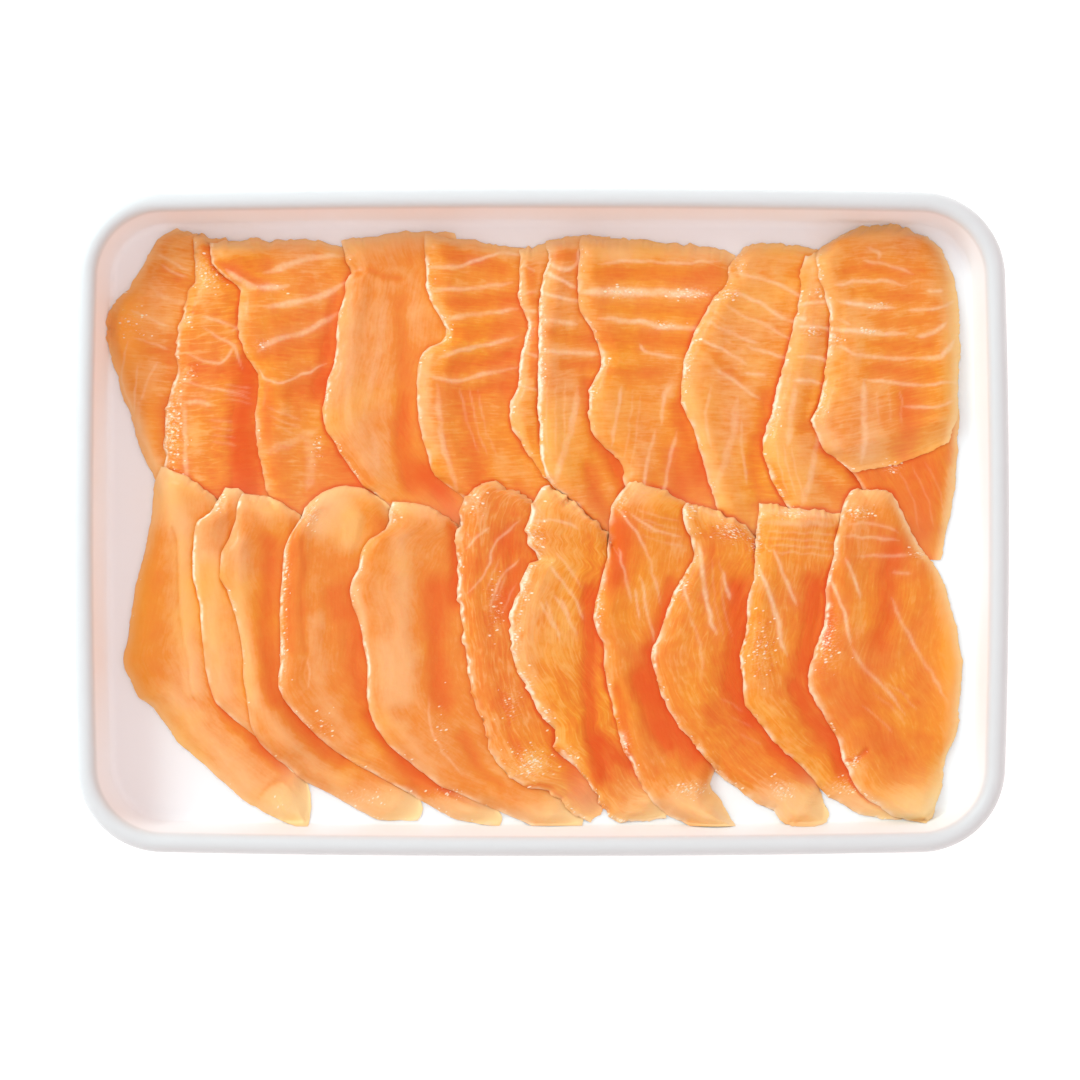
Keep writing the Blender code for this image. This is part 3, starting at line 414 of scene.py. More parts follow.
LOWER_ROW = (
    Look(left=(-98.5, 14.5, -100.5, 9.5, -101, 3, -102, -2, -103, -7, -104.5, -12.5, -105.5, -17.5,
            -106.5, -24, -107.5, -30.5, -108.5, -37, -106.5, -41.5, -104.5, -45.5, -101.5, -47.5, -98, -52,
            -94, -57.5, -91, -60, -85, -65.5, -81.5, -68.5, -77.5, -72, -72.5, -75, -67.5, -77.5,
            -60.5, -79.5),
        right=(-83.5, 5.5, -79.5, -4.5, -76.5, -20, -72, -35.5, -66.5, -49.5, -63, -59, -61, -67.5), crown=1,
        ragged=0.15, tone=0.35, tip=0.95, grain=0.15, shade=0.35, rim=0.1, soft_left=True,
        bands=((3.4, -0.4, (152, 540, 148, 600, 150, 670)), (2.2, 0.98, (166, 484, 178, 520, 182, 560,
            186, 640, 191, 690)), (0.5, -0.48, (173, 530, 176, 590, 182, 650, 190, 700)),
            (1.8, -0.86, (222, 712, 250, 740, 280, 766, 300, 788)),
            (2.4, 0.6, (170, 700, 205, 740, 245, 785)),
            (0.8, -0.5, (258, 797, 270, 785, 285, 783, 300, 800))),
        spots=((280, 806, 26, 18, 0.9), (166, 500, 14, 22, 0.4)),
        wet=((280, 808, 14, 8, 0.2),),
        glow=((128, 600, 24, 120, 0.9),)),
    Look(left=(-82, 8.5, -83.5, 6, -85, 3, -87, 1.5, -89, 0, -90, -4.5, -90.5, -9, -90.5, -13.5, -89.5, -18,
            -88.5, -22, -88, -29, -87.5, -35, -86.5, -40.5, -85, -45.5, -83, -48, -78.5, -52, -73.5, -56,
            -64.5, -65),
        right=(-76, 6.5, -72, -4.5, -69.5, -20, -66, -38, -59.5, -53.5, -54.5, -65), crown=1,
        ragged=0.15, tone=0.5, golden=0.1, tip=0.95, grain=0.1, shade=0.35,
        bands=((2.2, 0.52, (212, 560, 212, 620, 224, 690)), (1.2, -0.45, (230, 498, 231, 540)),
            (0.9, 1.2, (191, 540, 193, 590, 199, 640))),
        spots=((202, 555, 5, 6, 0.5),),
        wet=((217, 500, 6, 12, 0.7),),
        shine=((498, 526), (536, 628))),
    Look(left=(-77.5, 7.5, -78.5, 5, -79, 0.5, -80.5, -4, -82.5, -8, -83, -14, -81, -18, -80, -21.5,
            -78.5, -27, -77.5, -33.5, -77, -40, -76, -47.5, -74, -55.5, -69.5, -60.5, -65.5, -63.5, -62, -67,
            -57, -69.5, -51.5, -72.5, -46.5, -75.5, -41.5, -77.5, -32, -77.5),
        right=(-62, 1.5, -57.5, -10, -54.5, -25, -50.5, -40.5, -43, -55, -35, -65, -31.5, -72), crown=1.5,
        ragged=0.15, tone=0.15, golden=0, tip=0.95, grain=0.1, shade=0.35, rim=0.35,
        bands=((2.4, -0.67, (268, 540, 266, 620, 272, 700)), (2, 0.68, (238, 540, 240, 600, 250, 690)),
            (2.2, 0.45, (252, 500, 268, 512)), (2.2, -0.77, (286, 705, 300, 726, 316, 745, 342, 762)),
            (0.8, -0.86, (345, 757, 370, 766, 390, 780, 415, 797)),
            (2.2, 0.52, (255, 700, 290, 745, 340, 785))),
        spots=((364, 803, 27, 12, 0.9),),
        wet=((360, 800, 26, 8, 0.35),),
        shine=((490, 512),)),
    Look(left=(-61.5, 3.5, -62.5, 0.5, -65, -3.5, -66.5, -7.5, -67, -12.5, -67.5, -17.5, -67.5, -24.5,
            -67.5, -36.5, -68, -42, -66.5, -46, -63, -50.5, -59, -54.5, -54.5, -58.5, -50, -61.5, -43.5, -65,
            -37.5, -68.5, -31.5, -72, -26, -75.5, -21, -77.5, -11, -79),
        right=(-39.5, 4.5, -35, -7, -31.5, -22.5, -28, -40.5, -22, -56, -15.5, -68, -11.5, -74.5), crown=5.5,
        ragged=0.15, tone=0.05, golden=0, tip=0.95, grain=0.1, shade=0.35, rim=0.5,
        fat=((0.3, 0.4, (308, 660, 308, 690)),),
        bands=((2.2, -0.58, (352, 590, 354, 650, 362, 700)), (0.9, -0.35, (303, 540, 302, 590, 306, 650)),
            (2.4, -0.48, (334, 590, 336, 612)), (3, 1.3, (320, 500, 345, 510, 350, 535)),
            (2.4, 0.4, (314, 620, 318, 690, 345, 740)), (1.5, -0.5, (292, 530, 290, 600, 290, 650)),
            (2.2, -1.3, (369, 718, 382, 741, 402, 760, 420, 774, 446, 786)),
            (0.8, -0.86, (440, 790, 470, 803, 490, 808))),
        spots=((412, 795, 22, 14, -0.5), (372, 748, 16, 12, 0.35), (322, 524, 16, 12, 1.5),
            (460, 808, 34, 12, 0.8)),
        wet=((310, 514, 9, 10, 1), (284, 570, 4, 26, 1), (282, 650, 4, 26, 0.8), (322, 728, 10, 14, 0.3),
            (440, 798, 24, 8, 0.25)),
        shine=((494, 530), (536, 612), (640, 690))),
    Look(left=(-38.5, 5.5, -39.5, 2.5, -39.5, -0.5, -42, -3, -44.5, -4.5, -46.5, -7.5, -47.5, -12,
            -49.5, -16.5, -49, -21, -48, -23.5, -46.5, -28, -46, -31.5, -45, -37.5, -45, -46, -43.5, -52,
            -40.5, -56.5, -36.5, -60.5, -31, -64.5, -26, -68.5, -20, -71, -13.5, -74, -5.5, -77.5, -0.5, -79,
            10.5, -79),
        right=(-22.5, 0, -16, -7, -12.5, -20, -9.5, -38, -3, -53.5, 5, -68, 9.5, -73.5), crown=1.5,
        ragged=0.15, tone=0.15, golden=0, tip=0.95, grain=0.1, shade=0.35, rim=0.45,
        fat=((0.4, 0.4, (427, 697, 432, 735, 445, 755, 460, 776)),),
        bands=((3, -0.91, (436, 590, 436, 640, 440, 700)), (2.4, 0.68, (400, 540, 402, 620, 406, 700),
            (388, 650, 392, 700)), (2.4, 0.25, (380, 590, 384, 640, 390, 680)),
            (1.2, 1.05, (356, 590, 364, 650, 370, 710)), (1.8, -1.25, (450, 492, 455, 520, 455, 600)),
            (1.8, -0.58, (462, 735, 480, 768, 500, 782)), (2.2, 0.45, (390, 720, 430, 770))),
        spots=((505, 772, 20, 14, 0.45), (542, 816, 36, 10, 0.8), (420, 512, 22, 10, 0.3)),
        wet=((392, 510, 6, 10, 0.9), (356, 560, 5, 20, 0.5), (440, 735, 8, 24, 0.25)),
        shine=((494, 524), (545, 580), (640, 700))),
    Look(left=(-14, 11, -17.5, 9.5, -19, 7.5, -20, 4.5, -21, 1, -21.5, -4.5, -21.5, -11, -21.5, -18,
            -20.5, -27, -19.5, -33.5, -19, -39, -18, -44, -16, -50.5, -14, -56, -12, -60.5, -10, -64,
            -4.5, -68, 1, -69.5, 5, -71.5, 9, -75.5, 12.5, -77.5),
        right=(-2, 5.5, 2.5, -4.5, 5.5, -20, 8, -35.5, 12, -51, 16, -62.5, 18.5, -71.5), crown=1.5,
        ragged=0.6, tone=-0.05, golden=0.2, tip=0.5, grain=0.8, shade=0.7,
        fat=((0.4, 0.6, (520, 520, 502, 535, 494, 546, 484, 575, 466, 592), (465, 549, 476, 536, 490, 528),
            (520, 560, 500, 580, 490, 610)),) + comb((500, 560, 486, 590), (8, 12), 4),
        bands=((3, -0.9, (508, 535, 512, 570, 510, 610)),
            (2.2, -0.1, (470, 580, 470, 620, 472, 690, 486, 745)), (2, 0.3, (478, 500, 486, 520)),
            (0.6, -0.8, (528, 788, 548, 790, 562, 801)), (2.6, -0.9, (556, 720, 566, 760, 580, 790)),
            (2, -0.4, (500, 700, 520, 750))),
        spots=((585, 808, 24, 16, -0.4), (478, 565, 18, 20, -0.4), (530, 722, 12, 12, 0.4),
            (590, 798, 16, 10, -1.2), (536, 768, 20, 14, 0.7), (612, 814, 46, 9, 0.2)),
        wet=((476, 502, 9, 12, 0.7), (495, 605, 7, 26, 0.45), (512, 706, 9, 16, 0.45),
            (530, 765, 18, 14, 0.9)),
        shine=((490, 530), (550, 690))),
    Look(left=(1, 9, -0.5, 7, -2, 4.5, -2.5, 0.5, -3.5, -2, -2.5, -4, -3, -6, -1, -9, -3, -11.5, -4.5, -15.5,
            -6.5, -19.5, -7.5, -23, -8, -29.5, -7, -35.5, -5, -40, -2.5, -44, 0.5, -50, 3, -53.5, 4, -58.5,
            6.5, -61, 10, -65, 12.5, -69, 15, -73.5, 20, -77.5, 32, -77),
        right=(17, -3.5, 22.5, -15, 23.5, -28, 25.5, -43.5, 29.5, -56, 32.5, -65, 34.5, -71.5), crown=2.5,
        ragged=0.6, tone=0.2, golden=0.5, tip=0.95, grain=0.8, shade=0.9, rim=0.8,
        fat=((0.42, 0.6, (530, 520, 557, 521, 578, 528), (557, 553, 568, 566, 582, 587),
            (548, 563, 562, 582, 577, 601), (540, 600, 548, 615, 556, 631), (554, 594, 566, 615, 579, 639),
            (546, 599, 553, 620, 561, 641), (560, 598, 568, 616, 576, 636), (570, 588, 584, 621)),
            (0.8, 0.95, (519, 672, 526, 685, 535, 698), (541, 712, 553, 734),
            (562, 750, 570, 762, 582, 776))),
        bands=((2.2, -1.4, (592, 590, 590, 650, 590, 720, 604, 780)),
            (1.2, -1.2, (552, 748, 566, 764, 582, 782)), (2.4, 0.4, (552, 560, 534, 610, 528, 660)),
            (1.8, -1.2, (600, 740, 628, 768), (578, 780, 592, 800, 606, 812)),
            (1.8, -0.4, (560, 680, 570, 720))),
        spots=((605, 768, 18, 26, -0.5), (592, 735, 10, 34, -0.35), (590, 565, 10, 40, -0.4)),
        wet=((536, 540, 8, 22, 0.8), (524, 590, 5, 16, 0.9), (517, 635, 5, 26, 0.6), (528, 686, 6, 12, 0.8),
            (546, 722, 6, 10, 0.8), (572, 762, 7, 10, 0.8)),
        shine=((500, 560), (575, 660), (675, 700))),
    Look(left=(22.5, 10, 19, 5.5, 18, 2, 17.5, -4.5, 16.5, -11, 15.5, -16, 14.5, -20, 13.5, -24.5,
            14.5, -28.5, 16, -32, 16.5, -39, 18, -45.5, 19, -50, 20.5, -55, 21.5, -59, 23.5, -62.5,
            25.5, -67, 27.5, -70.5, 29.5, -73, 34.5, -77, 42.5, -80, 49.5, -80.5),
        right=(39, 4.5, 45, -7, 46.5, -20, 47.5, -35.5, 46.5, -48.5, 46, -61.5, 44, -68, 46, -71.5,
            49.5, -77), crown=1.5,
        ragged=0.25, golden=0.2, tip=0.95, grain=0.4, shade=1, rim=0.5,
        fat=((0.42, 0.65, (618, 548, 625, 575, 631, 604), (615, 506, 635, 530, 650, 560, 661, 604),
            (640, 575, 648, 610, 655, 642), (634, 588, 641, 620), (630, 512, 655, 530, 684, 538)),)
            + comb((636, 508, 656, 516, 680, 520), (2, 9), 4),
        bands=((3.6, -1.4, (615, 524, 620, 550, 617, 575)),
            (2.6, -1.4, (652, 655, 656, 690, 676, 722, 700, 752), (640, 680, 650, 715, 668, 745)),
            (1.6, -1, (616, 690, 620, 725, 628, 760)), (3, -0.5, (668, 730, 690, 765)),
            (2.2, 0.1, (610, 640, 614, 690, 622, 730)), (1.4, -0.8, (672, 582, 662, 620, 654, 650))),
        spots=((676, 545, 14, 18, 0.4), (652, 600, 12, 16, 0.35), (640, 500, 20, 10, 0.4),
            (690, 802, 28, 14, 1.6)),
        wet=((622, 498, 5, 12, 0.9), (598, 612, 4, 14, 0.9), (690, 790, 16, 7, 0.9), (626, 745, 5, 10, 0.8)),
        shine=((490, 512), (590, 640), (740, 770))),
    Look(left=(37, 5, 36.5, 2, 37.5, -1.5, 39, -4.5, 39.5, -7, 39, -10, 37, -13.5, 34.5, -18.5, 32.5, -23.5,
            30.5, -29.5, 29, -35.5, 30.5, -42, 32, -46.5, 35.5, -52.5, 40, -57.5, 44, -62.5, 47.5, -66.5,
            51.5, -69.5, 55, -72, 60, -75, 64.5, -78.5, 73, -78.5),
        right=(53, -1, 60.5, -10, 63.5, -22.5, 64.5, -38, 67.5, -51, 71, -62.5, 72.5, -68.5, 74, -74),
            crown=1.5,
        ragged=0.35, tone=-0.1, golden=0.3, tip=0.95, grain=0.6, shade=1, rim=0.7,
        fat=((0.75, 0.95, (697, 544, 702, 560, 705, 590, 711, 618, 717, 636)),
            (0.5, 0.75, (684, 582, 688, 600, 692, 612), (722, 570, 731, 600)),
            (0.5, 0.35, (688, 612, 701, 647, 703, 680), (700, 508, 720, 516, 748, 520)))
            + comb((712, 560, 716, 600, 724, 640), (8, -3), 2) + comb((722, 700, 745, 712), (9, 17),
            3, amount=0.15),
        bands=((3, -1.6, (738, 590, 740, 640, 737, 690, 750, 716)),
            (2.4, -1.3, (756, 722, 782, 748, 815, 778)), (2.4, 0.1, (688, 615, 676, 650, 676, 690)),
            (2.2, -0.3, (712, 550, 712, 590)), (3, -0.3, (715, 715, 745, 760))),
        spots=((738, 552, 10, 12, 0.5), (715, 516, 22, 10, 0.5), (786, 802, 30, 16, 1.8)),
        wet=((690, 508, 8, 10, 1), (731, 531, 14, 8, 1), (755, 540, 6, 14, 0.9), (682, 582, 7, 14, 0.9),
            (783, 792, 10, 8, 1)),
        shine=((498, 520), (566, 612), (640, 680))),
    Look(left=(56.5, 5, 56.5, 0.5, 56, -4.5, 55.5, -10, 55, -15.5, 53.5, -20.5, 53, -28.5, 51.5, -35.5,
            52.5, -43, 53.5, -48, 57, -52.5, 62, -58.5, 67.5, -63, 72.5, -69, 77, -72.5, 82, -75.5,
            87.5, -77, 94, -77.5),
        right=(77.5, 2, 84, -10, 85.5, -25, 87, -43.5, 90.5, -58.5, 95, -73), crown=0.5,
        golden=0.5, tip=0.95, grain=0.6, shade=1, rim=0.6,
        fat=((0.7, 0.95, (758, 562, 768, 590, 778, 620, 783, 642, 789, 656)),
            (0.5, 0.8, (774, 549, 785, 575, 798, 607)), (0.9, 0.5, (764, 510, 800, 513, 836, 517),
            (764, 521, 800, 523, 836, 525))) + comb((766, 531, 800, 532, 836, 536), (0, 7), 4, amount=0.35),
        bands=((2.8, -1.4, (814, 586, 812, 630, 806, 668)),
            (2.6, -1.4, (798, 690, 812, 718, 834, 744, 846, 770)),
            (2.4, 0.15, (762, 640, 764, 680, 772, 716)), (2.2, -0.4, (748, 600, 745, 640))),
        spots=((800, 578, 10, 14, 0.4), (868, 800, 36, 18, 1.6), (800, 520, 30, 8, 0.4)),
        wet=((793, 512, 14, 6, 1), (762, 650, 12, 26, 0.55), (758, 535, 6, 16, 0.9), (848, 788, 14, 8, 0.7)),
        shine=((505, 545), (600, 690))),
    Look(left=(80.5, 8, 78.5, 4.5, 77.5, 0.5, 76.5, -4.5, 76, -8.5, 74.5, -13.5, 74, -17.5, 74, -20.5,
            73.5, -25.5, 71, -33.5, 69.5, -39.5, 70, -44, 72.5, -49, 77, -56, 78, -60.5, 80.5, -65.5,
            83, -70.5, 87.5, -73.5, 92.5, -77, 99.5, -78),
        right=(92.5, 5.5, 95, 0, 98, -6, 102, -10.5, 105, -16, 107, -22.5, 108.5, -30.5, 109.5, -38,
            109, -46, 108, -55, 105.5, -61, 104.5, -67, 102.5, -74.5), crown=2,
        tone=-0.15, tip=0.95, grain=0.4, shade=1, rim=0.7,
        fat=((0.6, 0.95, (831, 578, 840, 598, 848, 622, 852, 645)),
            (0.55, 0.5, (852, 645, 860, 662, 880, 681, 908, 717), (893, 598, 906, 626, 926, 662, 952, 704)),
            (0.5, 0.8, (847, 557, 855, 575, 863, 600), (895, 495, 905, 516, 915, 536, 926, 554)),
            (0.5, 0.45, (845, 523, 880, 525, 900, 532), (843, 536, 870, 537, 902, 541), (858, 556, 914, 556),
            (893, 573, 914, 573))) + comb((862, 706, 884, 722, 896, 736), (12, -12), 3, amount=0.2),
        bands=((3, -0.9, (898, 548, 890, 590, 884, 640)), (3.6, -0.35, (862, 680, 872, 720, 900, 760)),
            (2.6, 0.9, (948, 590, 956, 640, 958, 700, 952, 750, 940, 800)),
            (0.7, -0.9, (842, 762, 858, 759, 870, 748)), (1.4, -0.9, (828, 560, 830, 600, 827, 640))),
        spots=((862, 535, 10, 20, 0.4), (861, 628, 9, 34, 0.45), (858, 772, 14, 24, 0.45),
            (908, 804, 36, 18, 0.9), (872, 500, 22, 9, 0.5)),
        wet=((828, 640, 10, 24, 0.9), (856, 763, 7, 7, 1), (924, 553, 8, 5, 1), (858, 512, 14, 6, 1),
            (880, 488, 20, 4, 0.5)),
        shine=((500, 520), (560, 580), (600, 662), (752, 770)),
        glow=((956, 650, 18, 110, 0.7),)),
)


# ---------------- helpers for curves and noise

def smooth_path(knots: tuple, steps: int = 8) -> Array:
    """Draws a Catmull-Rom curve through knots.

    Args:
        knots: x and y of each knot, in turn.
        steps: short steps between two knots.

    Returns:
        The (x, y) rows of the curve.
    """
    rows = np.array(knots, float).reshape(-1, 2)
    last = len(rows) - 1
    share = np.linspace(0.0, last, last * steps + 1)
    span = np.minimum(share.astype(int), last - 1)
    step = (share - span)[:, None]
    before = rows[np.maximum(span - 1, 0)]
    start = rows[span]
    end = rows[span + 1]
    after = rows[np.minimum(span + 2, last)]
    linear = end - before
    square = 2.0 * before - 5.0 * start + 4.0 * end - after
    cube = 3.0 * (start - end) + after - before
    return start + 0.5 * step * (linear + step * (square + step * cube))


def along_path(knots: tuple, shares: Array) -> tuple[Array, float]:
    """Reads places on the smooth curve through knots, by its length.

    Args:
        knots: x and y of each knot, in turn.
        shares: shares of the curve's length.

    Returns:
        The (x, y) rows at the shares, and the curve's length.
    """
    path = smooth_path(knots)
    runs = np.concatenate([[0.0], np.cumsum(np.hypot(*np.diff(path, axis=0).T))])
    reach = shares * runs[-1]
    return np.stack([np.interp(reach, runs, path[:, axis]) for axis in (0, 1)], axis=1), runs[-1]


def nearest_on_path(x: Array, y: Array, path: Array) -> tuple[Array, Array]:
    """Nearest spot of a path of short straight steps.

    Args:
        x, y: places on the tray.
        path: (x, y) rows of the path.

    Returns:
        The distance of each place from the path, and the share of the path's steps there.
    """
    nearest = np.full(x.shape, np.inf)
    where = np.zeros(x.shape)
    last = len(path) - 1
    for number, ((ax, ay), (bx, by)) in enumerate(zip(path, path[1:])):
        run_x, run_y = bx - ax, by - ay
        length = max(run_x ** 2 + run_y ** 2, 1e-9)
        share = np.clip(((x - ax) * run_x + (y - ay) * run_y) / length, 0.0, 1.0)
        gap = np.hypot(x - ax - share * run_x, y - ay - share * run_y)
        closer = gap < nearest
        nearest = np.where(closer, gap, nearest)
        where = np.where(closer, (number + share) / last, where)
    return nearest, where


def between(grid: Array, i: Array, j: Array, s: Array, t: Array) -> Array:
    """Reads a grid between its places.

    Args:
        grid: the values.
        i, j: the place before, each way.
        s, t: share of the way to the next place, each way.

    Returns:
        The values there.
    """
    low = grid[i, j] * (1 - s) + grid[i + 1, j] * s
    high = grid[i, j + 1] * (1 - s) + grid[i + 1, j + 1] * s
    return low * (1 - t) + high * t


def soft_noise(x: Array, y: Array, size: float, seed: int) -> Array:
    """Smooth random height between -1 and 1 over a plane.

    Args:
        x, y: coordinates on the plane.
        size: spacing of the bumps, in the coordinates' unit.
        seed: picks the pattern.

    Returns:
        The noise at each place.
    """
    count = 64
    lattice = np.random.default_rng(seed).uniform(-1.0, 1.0, (count, count))
    lattice = np.pad(lattice, (0, 1), mode="wrap")
    across, along = x / size, y / size
    left, low = np.floor(across).astype(int), np.floor(along).astype(int)
    ease_x, ease_y = smooth_step(across - left), smooth_step(along - low)
    return between(lattice, left % count, low % count, ease_x, ease_y)


def smooth_step(share: Array) -> Array:
    """Eases a share from 0 to 1 at both ends."""
    return share * share * (3.0 - 2.0 * share)


def fade(gap: Array, reach: float) -> Array:
    """Falls from 1 at no gap towards 0 past the reach."""
    return np.exp(-((gap / reach) ** 2))


def four_neighbours(grid: Array) -> Array:
    """Sum of the four neighbours of each place of a grid."""
    framed = np.pad(grid, 1, mode="edge")
    return framed[:-2, 1:-1] + framed[2:, 1:-1] + framed[1:-1, :-2] + framed[1:-1, 2:]


def blurred(grid: Array, passes: int) -> Array:
    """Softens a grid by averaging each place with its four neighbours.

    Args:
        grid: the values.
        passes: how many times.

    Returns:
        The softened grid.
    """
    for _ in range(passes):
        grid = 0.5 * grid + 0.125 * four_neighbours(grid)
    return grid


def softened(grid: Array, spread: float, cell: float) -> Array:
    """Blurs a grid with a bell of a given width.

    Args:
        grid: the values.
        spread: the bell's standard deviation.
        cell: size of a grid cell, in the same unit.

    Returns:
        The blurred grid.
    """
    along = np.fft.fftfreq(grid.shape[0], cell)[:, None]
    across = np.fft.rfftfreq(grid.shape[1], cell)[None, :]
    bell = np.exp(-2.0 * (math.pi * spread) ** 2 * (along ** 2 + across ** 2))
    return np.fft.irfft2(np.fft.rfft2(grid) * bell, grid.shape)


def enlarged(grid: Array, step: int) -> Array:
    """Fills in even steps between the values of a grid.

    Args:
        grid: the coarse values.
        step: fine steps for each coarse one.

    Returns:
        The fine grid, which passes through the coarse values.
    """
    for _ in range(2):
        fine = np.arange((grid.shape[0] - 1) * step + 1) / step
        coarse = np.arange(grid.shape[0])
        grid = np.stack([np.interp(fine, coarse, column) for column in grid.T])
    return grid


# ---------------- helpers for meshes

def add_object(name: str, data: bpy.types.ID) -> bpy.types.Object:
    """Puts a new object into the scene at the origin.

    Args:
        name: its name.
        data: its mesh, curve, light or camera.

    Returns:
        The object.
    """
    thing = bpy.data.objects.new(name, data)
    bpy.context.scene.collection.objects.link(thing)
    return thing


def guide_curve(name: str, points: list, closed: bool) -> bpy.types.Object:
    """Makes a curve of straight steps.

    Args:
        name: the new object's name.
        points: (x, y) pairs in millimetres.
        closed: whether the last point joins the first.

    Returns:
        The curve's object.
    """
    curve = bpy.data.curves.new(name, "CURVE")
    curve.dimensions = "3D"
    spline = curve.splines.new("POLY")
    spline.points.add(len(points) - 1)
    spline.use_cyclic_u = closed
    for spot, (x, y) in zip(spline.points, points):
        spot.co = (x * MM, y * MM, 0.0, 1.0)
    return add_object(name, curve)


def paint(mesh: bpy.types.Mesh, name: str, values: Array) -> None:
    """Writes a value for each point of a mesh to a new attribute."""
    mesh.attributes.new(name, "FLOAT", "POINT").data.foreach_set("value", values.astype(np.float32))


def smooth_shading(mesh: bpy.types.Mesh, sharpest: float) -> None:
    """Shades a mesh smooth, apart from edges that bend more than an angle in degrees."""
    mesh.shade_smooth()
    mesh.set_sharp_from_angle(angle=math.radians(sharpest))


def dress(piece: bpy.types.Object, slot: str, *nodes: str) -> None:
    """Says what a piece rides on and hides the solids that it stands for.

    Args:
        piece: the finished piece.
        slot: not used.
        *nodes: the solids that it replaces.
    """
    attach(piece, BODY)
    if nodes:
        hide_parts(*nodes)


# ---------------- node layouts

def opaque(colour: object) -> object:
    """A colour with full alpha; a socket stays as it is."""
    return colour if isinstance(colour, Plug) else (*colour, 1.0)


class NodeLayout:
    """A node tree, and a short way to add nodes to it."""

    tree: bpy.types.NodeTree

    def node(self, kind: str, inputs: dict | None = None, **settings: object) -> bpy.types.Node:
        """Adds a node and fills its inputs.

        Args:
            kind: the node's type name.
            inputs: values or sockets for its inputs, by name or number.
            **settings: properties to set on it.

        Returns:
            The new node.
        """
        made = self.tree.nodes.new(kind)
        for key, value in settings.items():
            setattr(made, key, value)
        self.fill(made, inputs or {})
        return made

    def fill(self, node: bpy.types.Node, inputs: dict) -> None:
        """Fills a node's inputs.

        Args:
            node: the node.
            inputs: values or sockets, by the input's name or number.
        """
        for key, value in inputs.items():
            if isinstance(value, Plug):
                self.tree.links.new(value, node.inputs[key])
            else:
                node.inputs[key].default_value = value


class NodeSheet(NodeLayout):
    """One material, laid out node by node round a Principled shader."""

    def __init__(self, name: str) -> None:
        """Starts a material with a Principled shader.

        Args:
            name: the material's name.
        """
        self.material = bpy.data.materials.new(name)
        self.material.use_nodes = True
        self.tree = self.material.node_tree
        self.place = self.node("ShaderNodeTexCoord").outputs["Object"]

    def shade(self, inputs: dict) -> bpy.types.Material:
        """Fills the shader's inputs and hands over the finished material."""
        self.fill(self.tree.nodes["Principled BSDF"], inputs)
        return self.material

    def attribute(self, name: str) -> Plug:
        """The value of a mesh attribute."""
        return self.node("ShaderNodeAttribute", attribute_name=name).outputs["Fac"]

    def stretched(self, vector: Plug, stretch: tuple) -> Plug:
        """Coordinates times (x, y) factors."""
        mapping = self.node("ShaderNodeMapping", {"Vector": vector, "Scale": (*stretch, 1.0)})
        return mapping.outputs["Vector"]

    def noise(self, vector: Plug, scale: float = 1.0, detail: float = 2.0) -> Plug:
        """A noise value at a scale.

        Args:
            vector: the coordinates.
            scale: bumps for each unit.
            detail: octaves of the noise.

        Returns:
            The noise's value socket.
        """
        inputs = {"Vector": vector, "Scale": scale, "Detail": detail}
        return self.node("ShaderNodeTexNoise", inputs).outputs["Fac"]

    def math(self, operation: str, *values: object, clamp: bool = False) -> Plug:
        """The result of one sum on sockets or numbers.

        Args:
            operation: the Math node's operation.
            *values: its inputs.
            clamp: whether the result is kept between 0 and 1.

        Returns:
            The result's socket.
        """
        inputs = dict(enumerate(values))
        return self.node("ShaderNodeMath", inputs, operation=operation, use_clamp=clamp).outputs[0]

    def scaled(self, value: Plug, factor: object, offset: object = 0.0, clamp: bool = False) -> Plug:
        """A value times a factor, plus an offset.

        Args:
            value: the value's socket.
            factor: a number or a socket.
            offset: a number or a socket.
            clamp: whether the result is kept between 0 and 1.

        Returns:
            The result's socket.
        """
        return self.math("MULTIPLY_ADD", value, factor, offset, clamp=clamp)

    def blend(self, share: Plug, start: object, end: object) -> Plug:
        """Mixes two colours.

        Args:
            share: how much of the second, from 0 to 1.
            start: the first colour, or its socket.
            end: the second colour, or its socket.

        Returns:
            The mixed colour's socket.
        """
        inputs = {"Factor": share, 6: opaque(start), 7: opaque(end)}
        return self.node("ShaderNodeMix", inputs, data_type="RGBA").outputs[2]

    def bump(self, height: Plug, strength: float, distance: float) -> Plug:
        """Normals bent by a height.

        Args:
            height: the height's socket.
            strength: how much of it shows.
            distance: its depth in metres.

        Returns:
            The normals' socket.
        """
        inputs = {"Strength": strength, "Distance": distance, "Height": height}
        return self.node("ShaderNodeBump", inputs).outputs["Normal"]


# ---------------- finishes

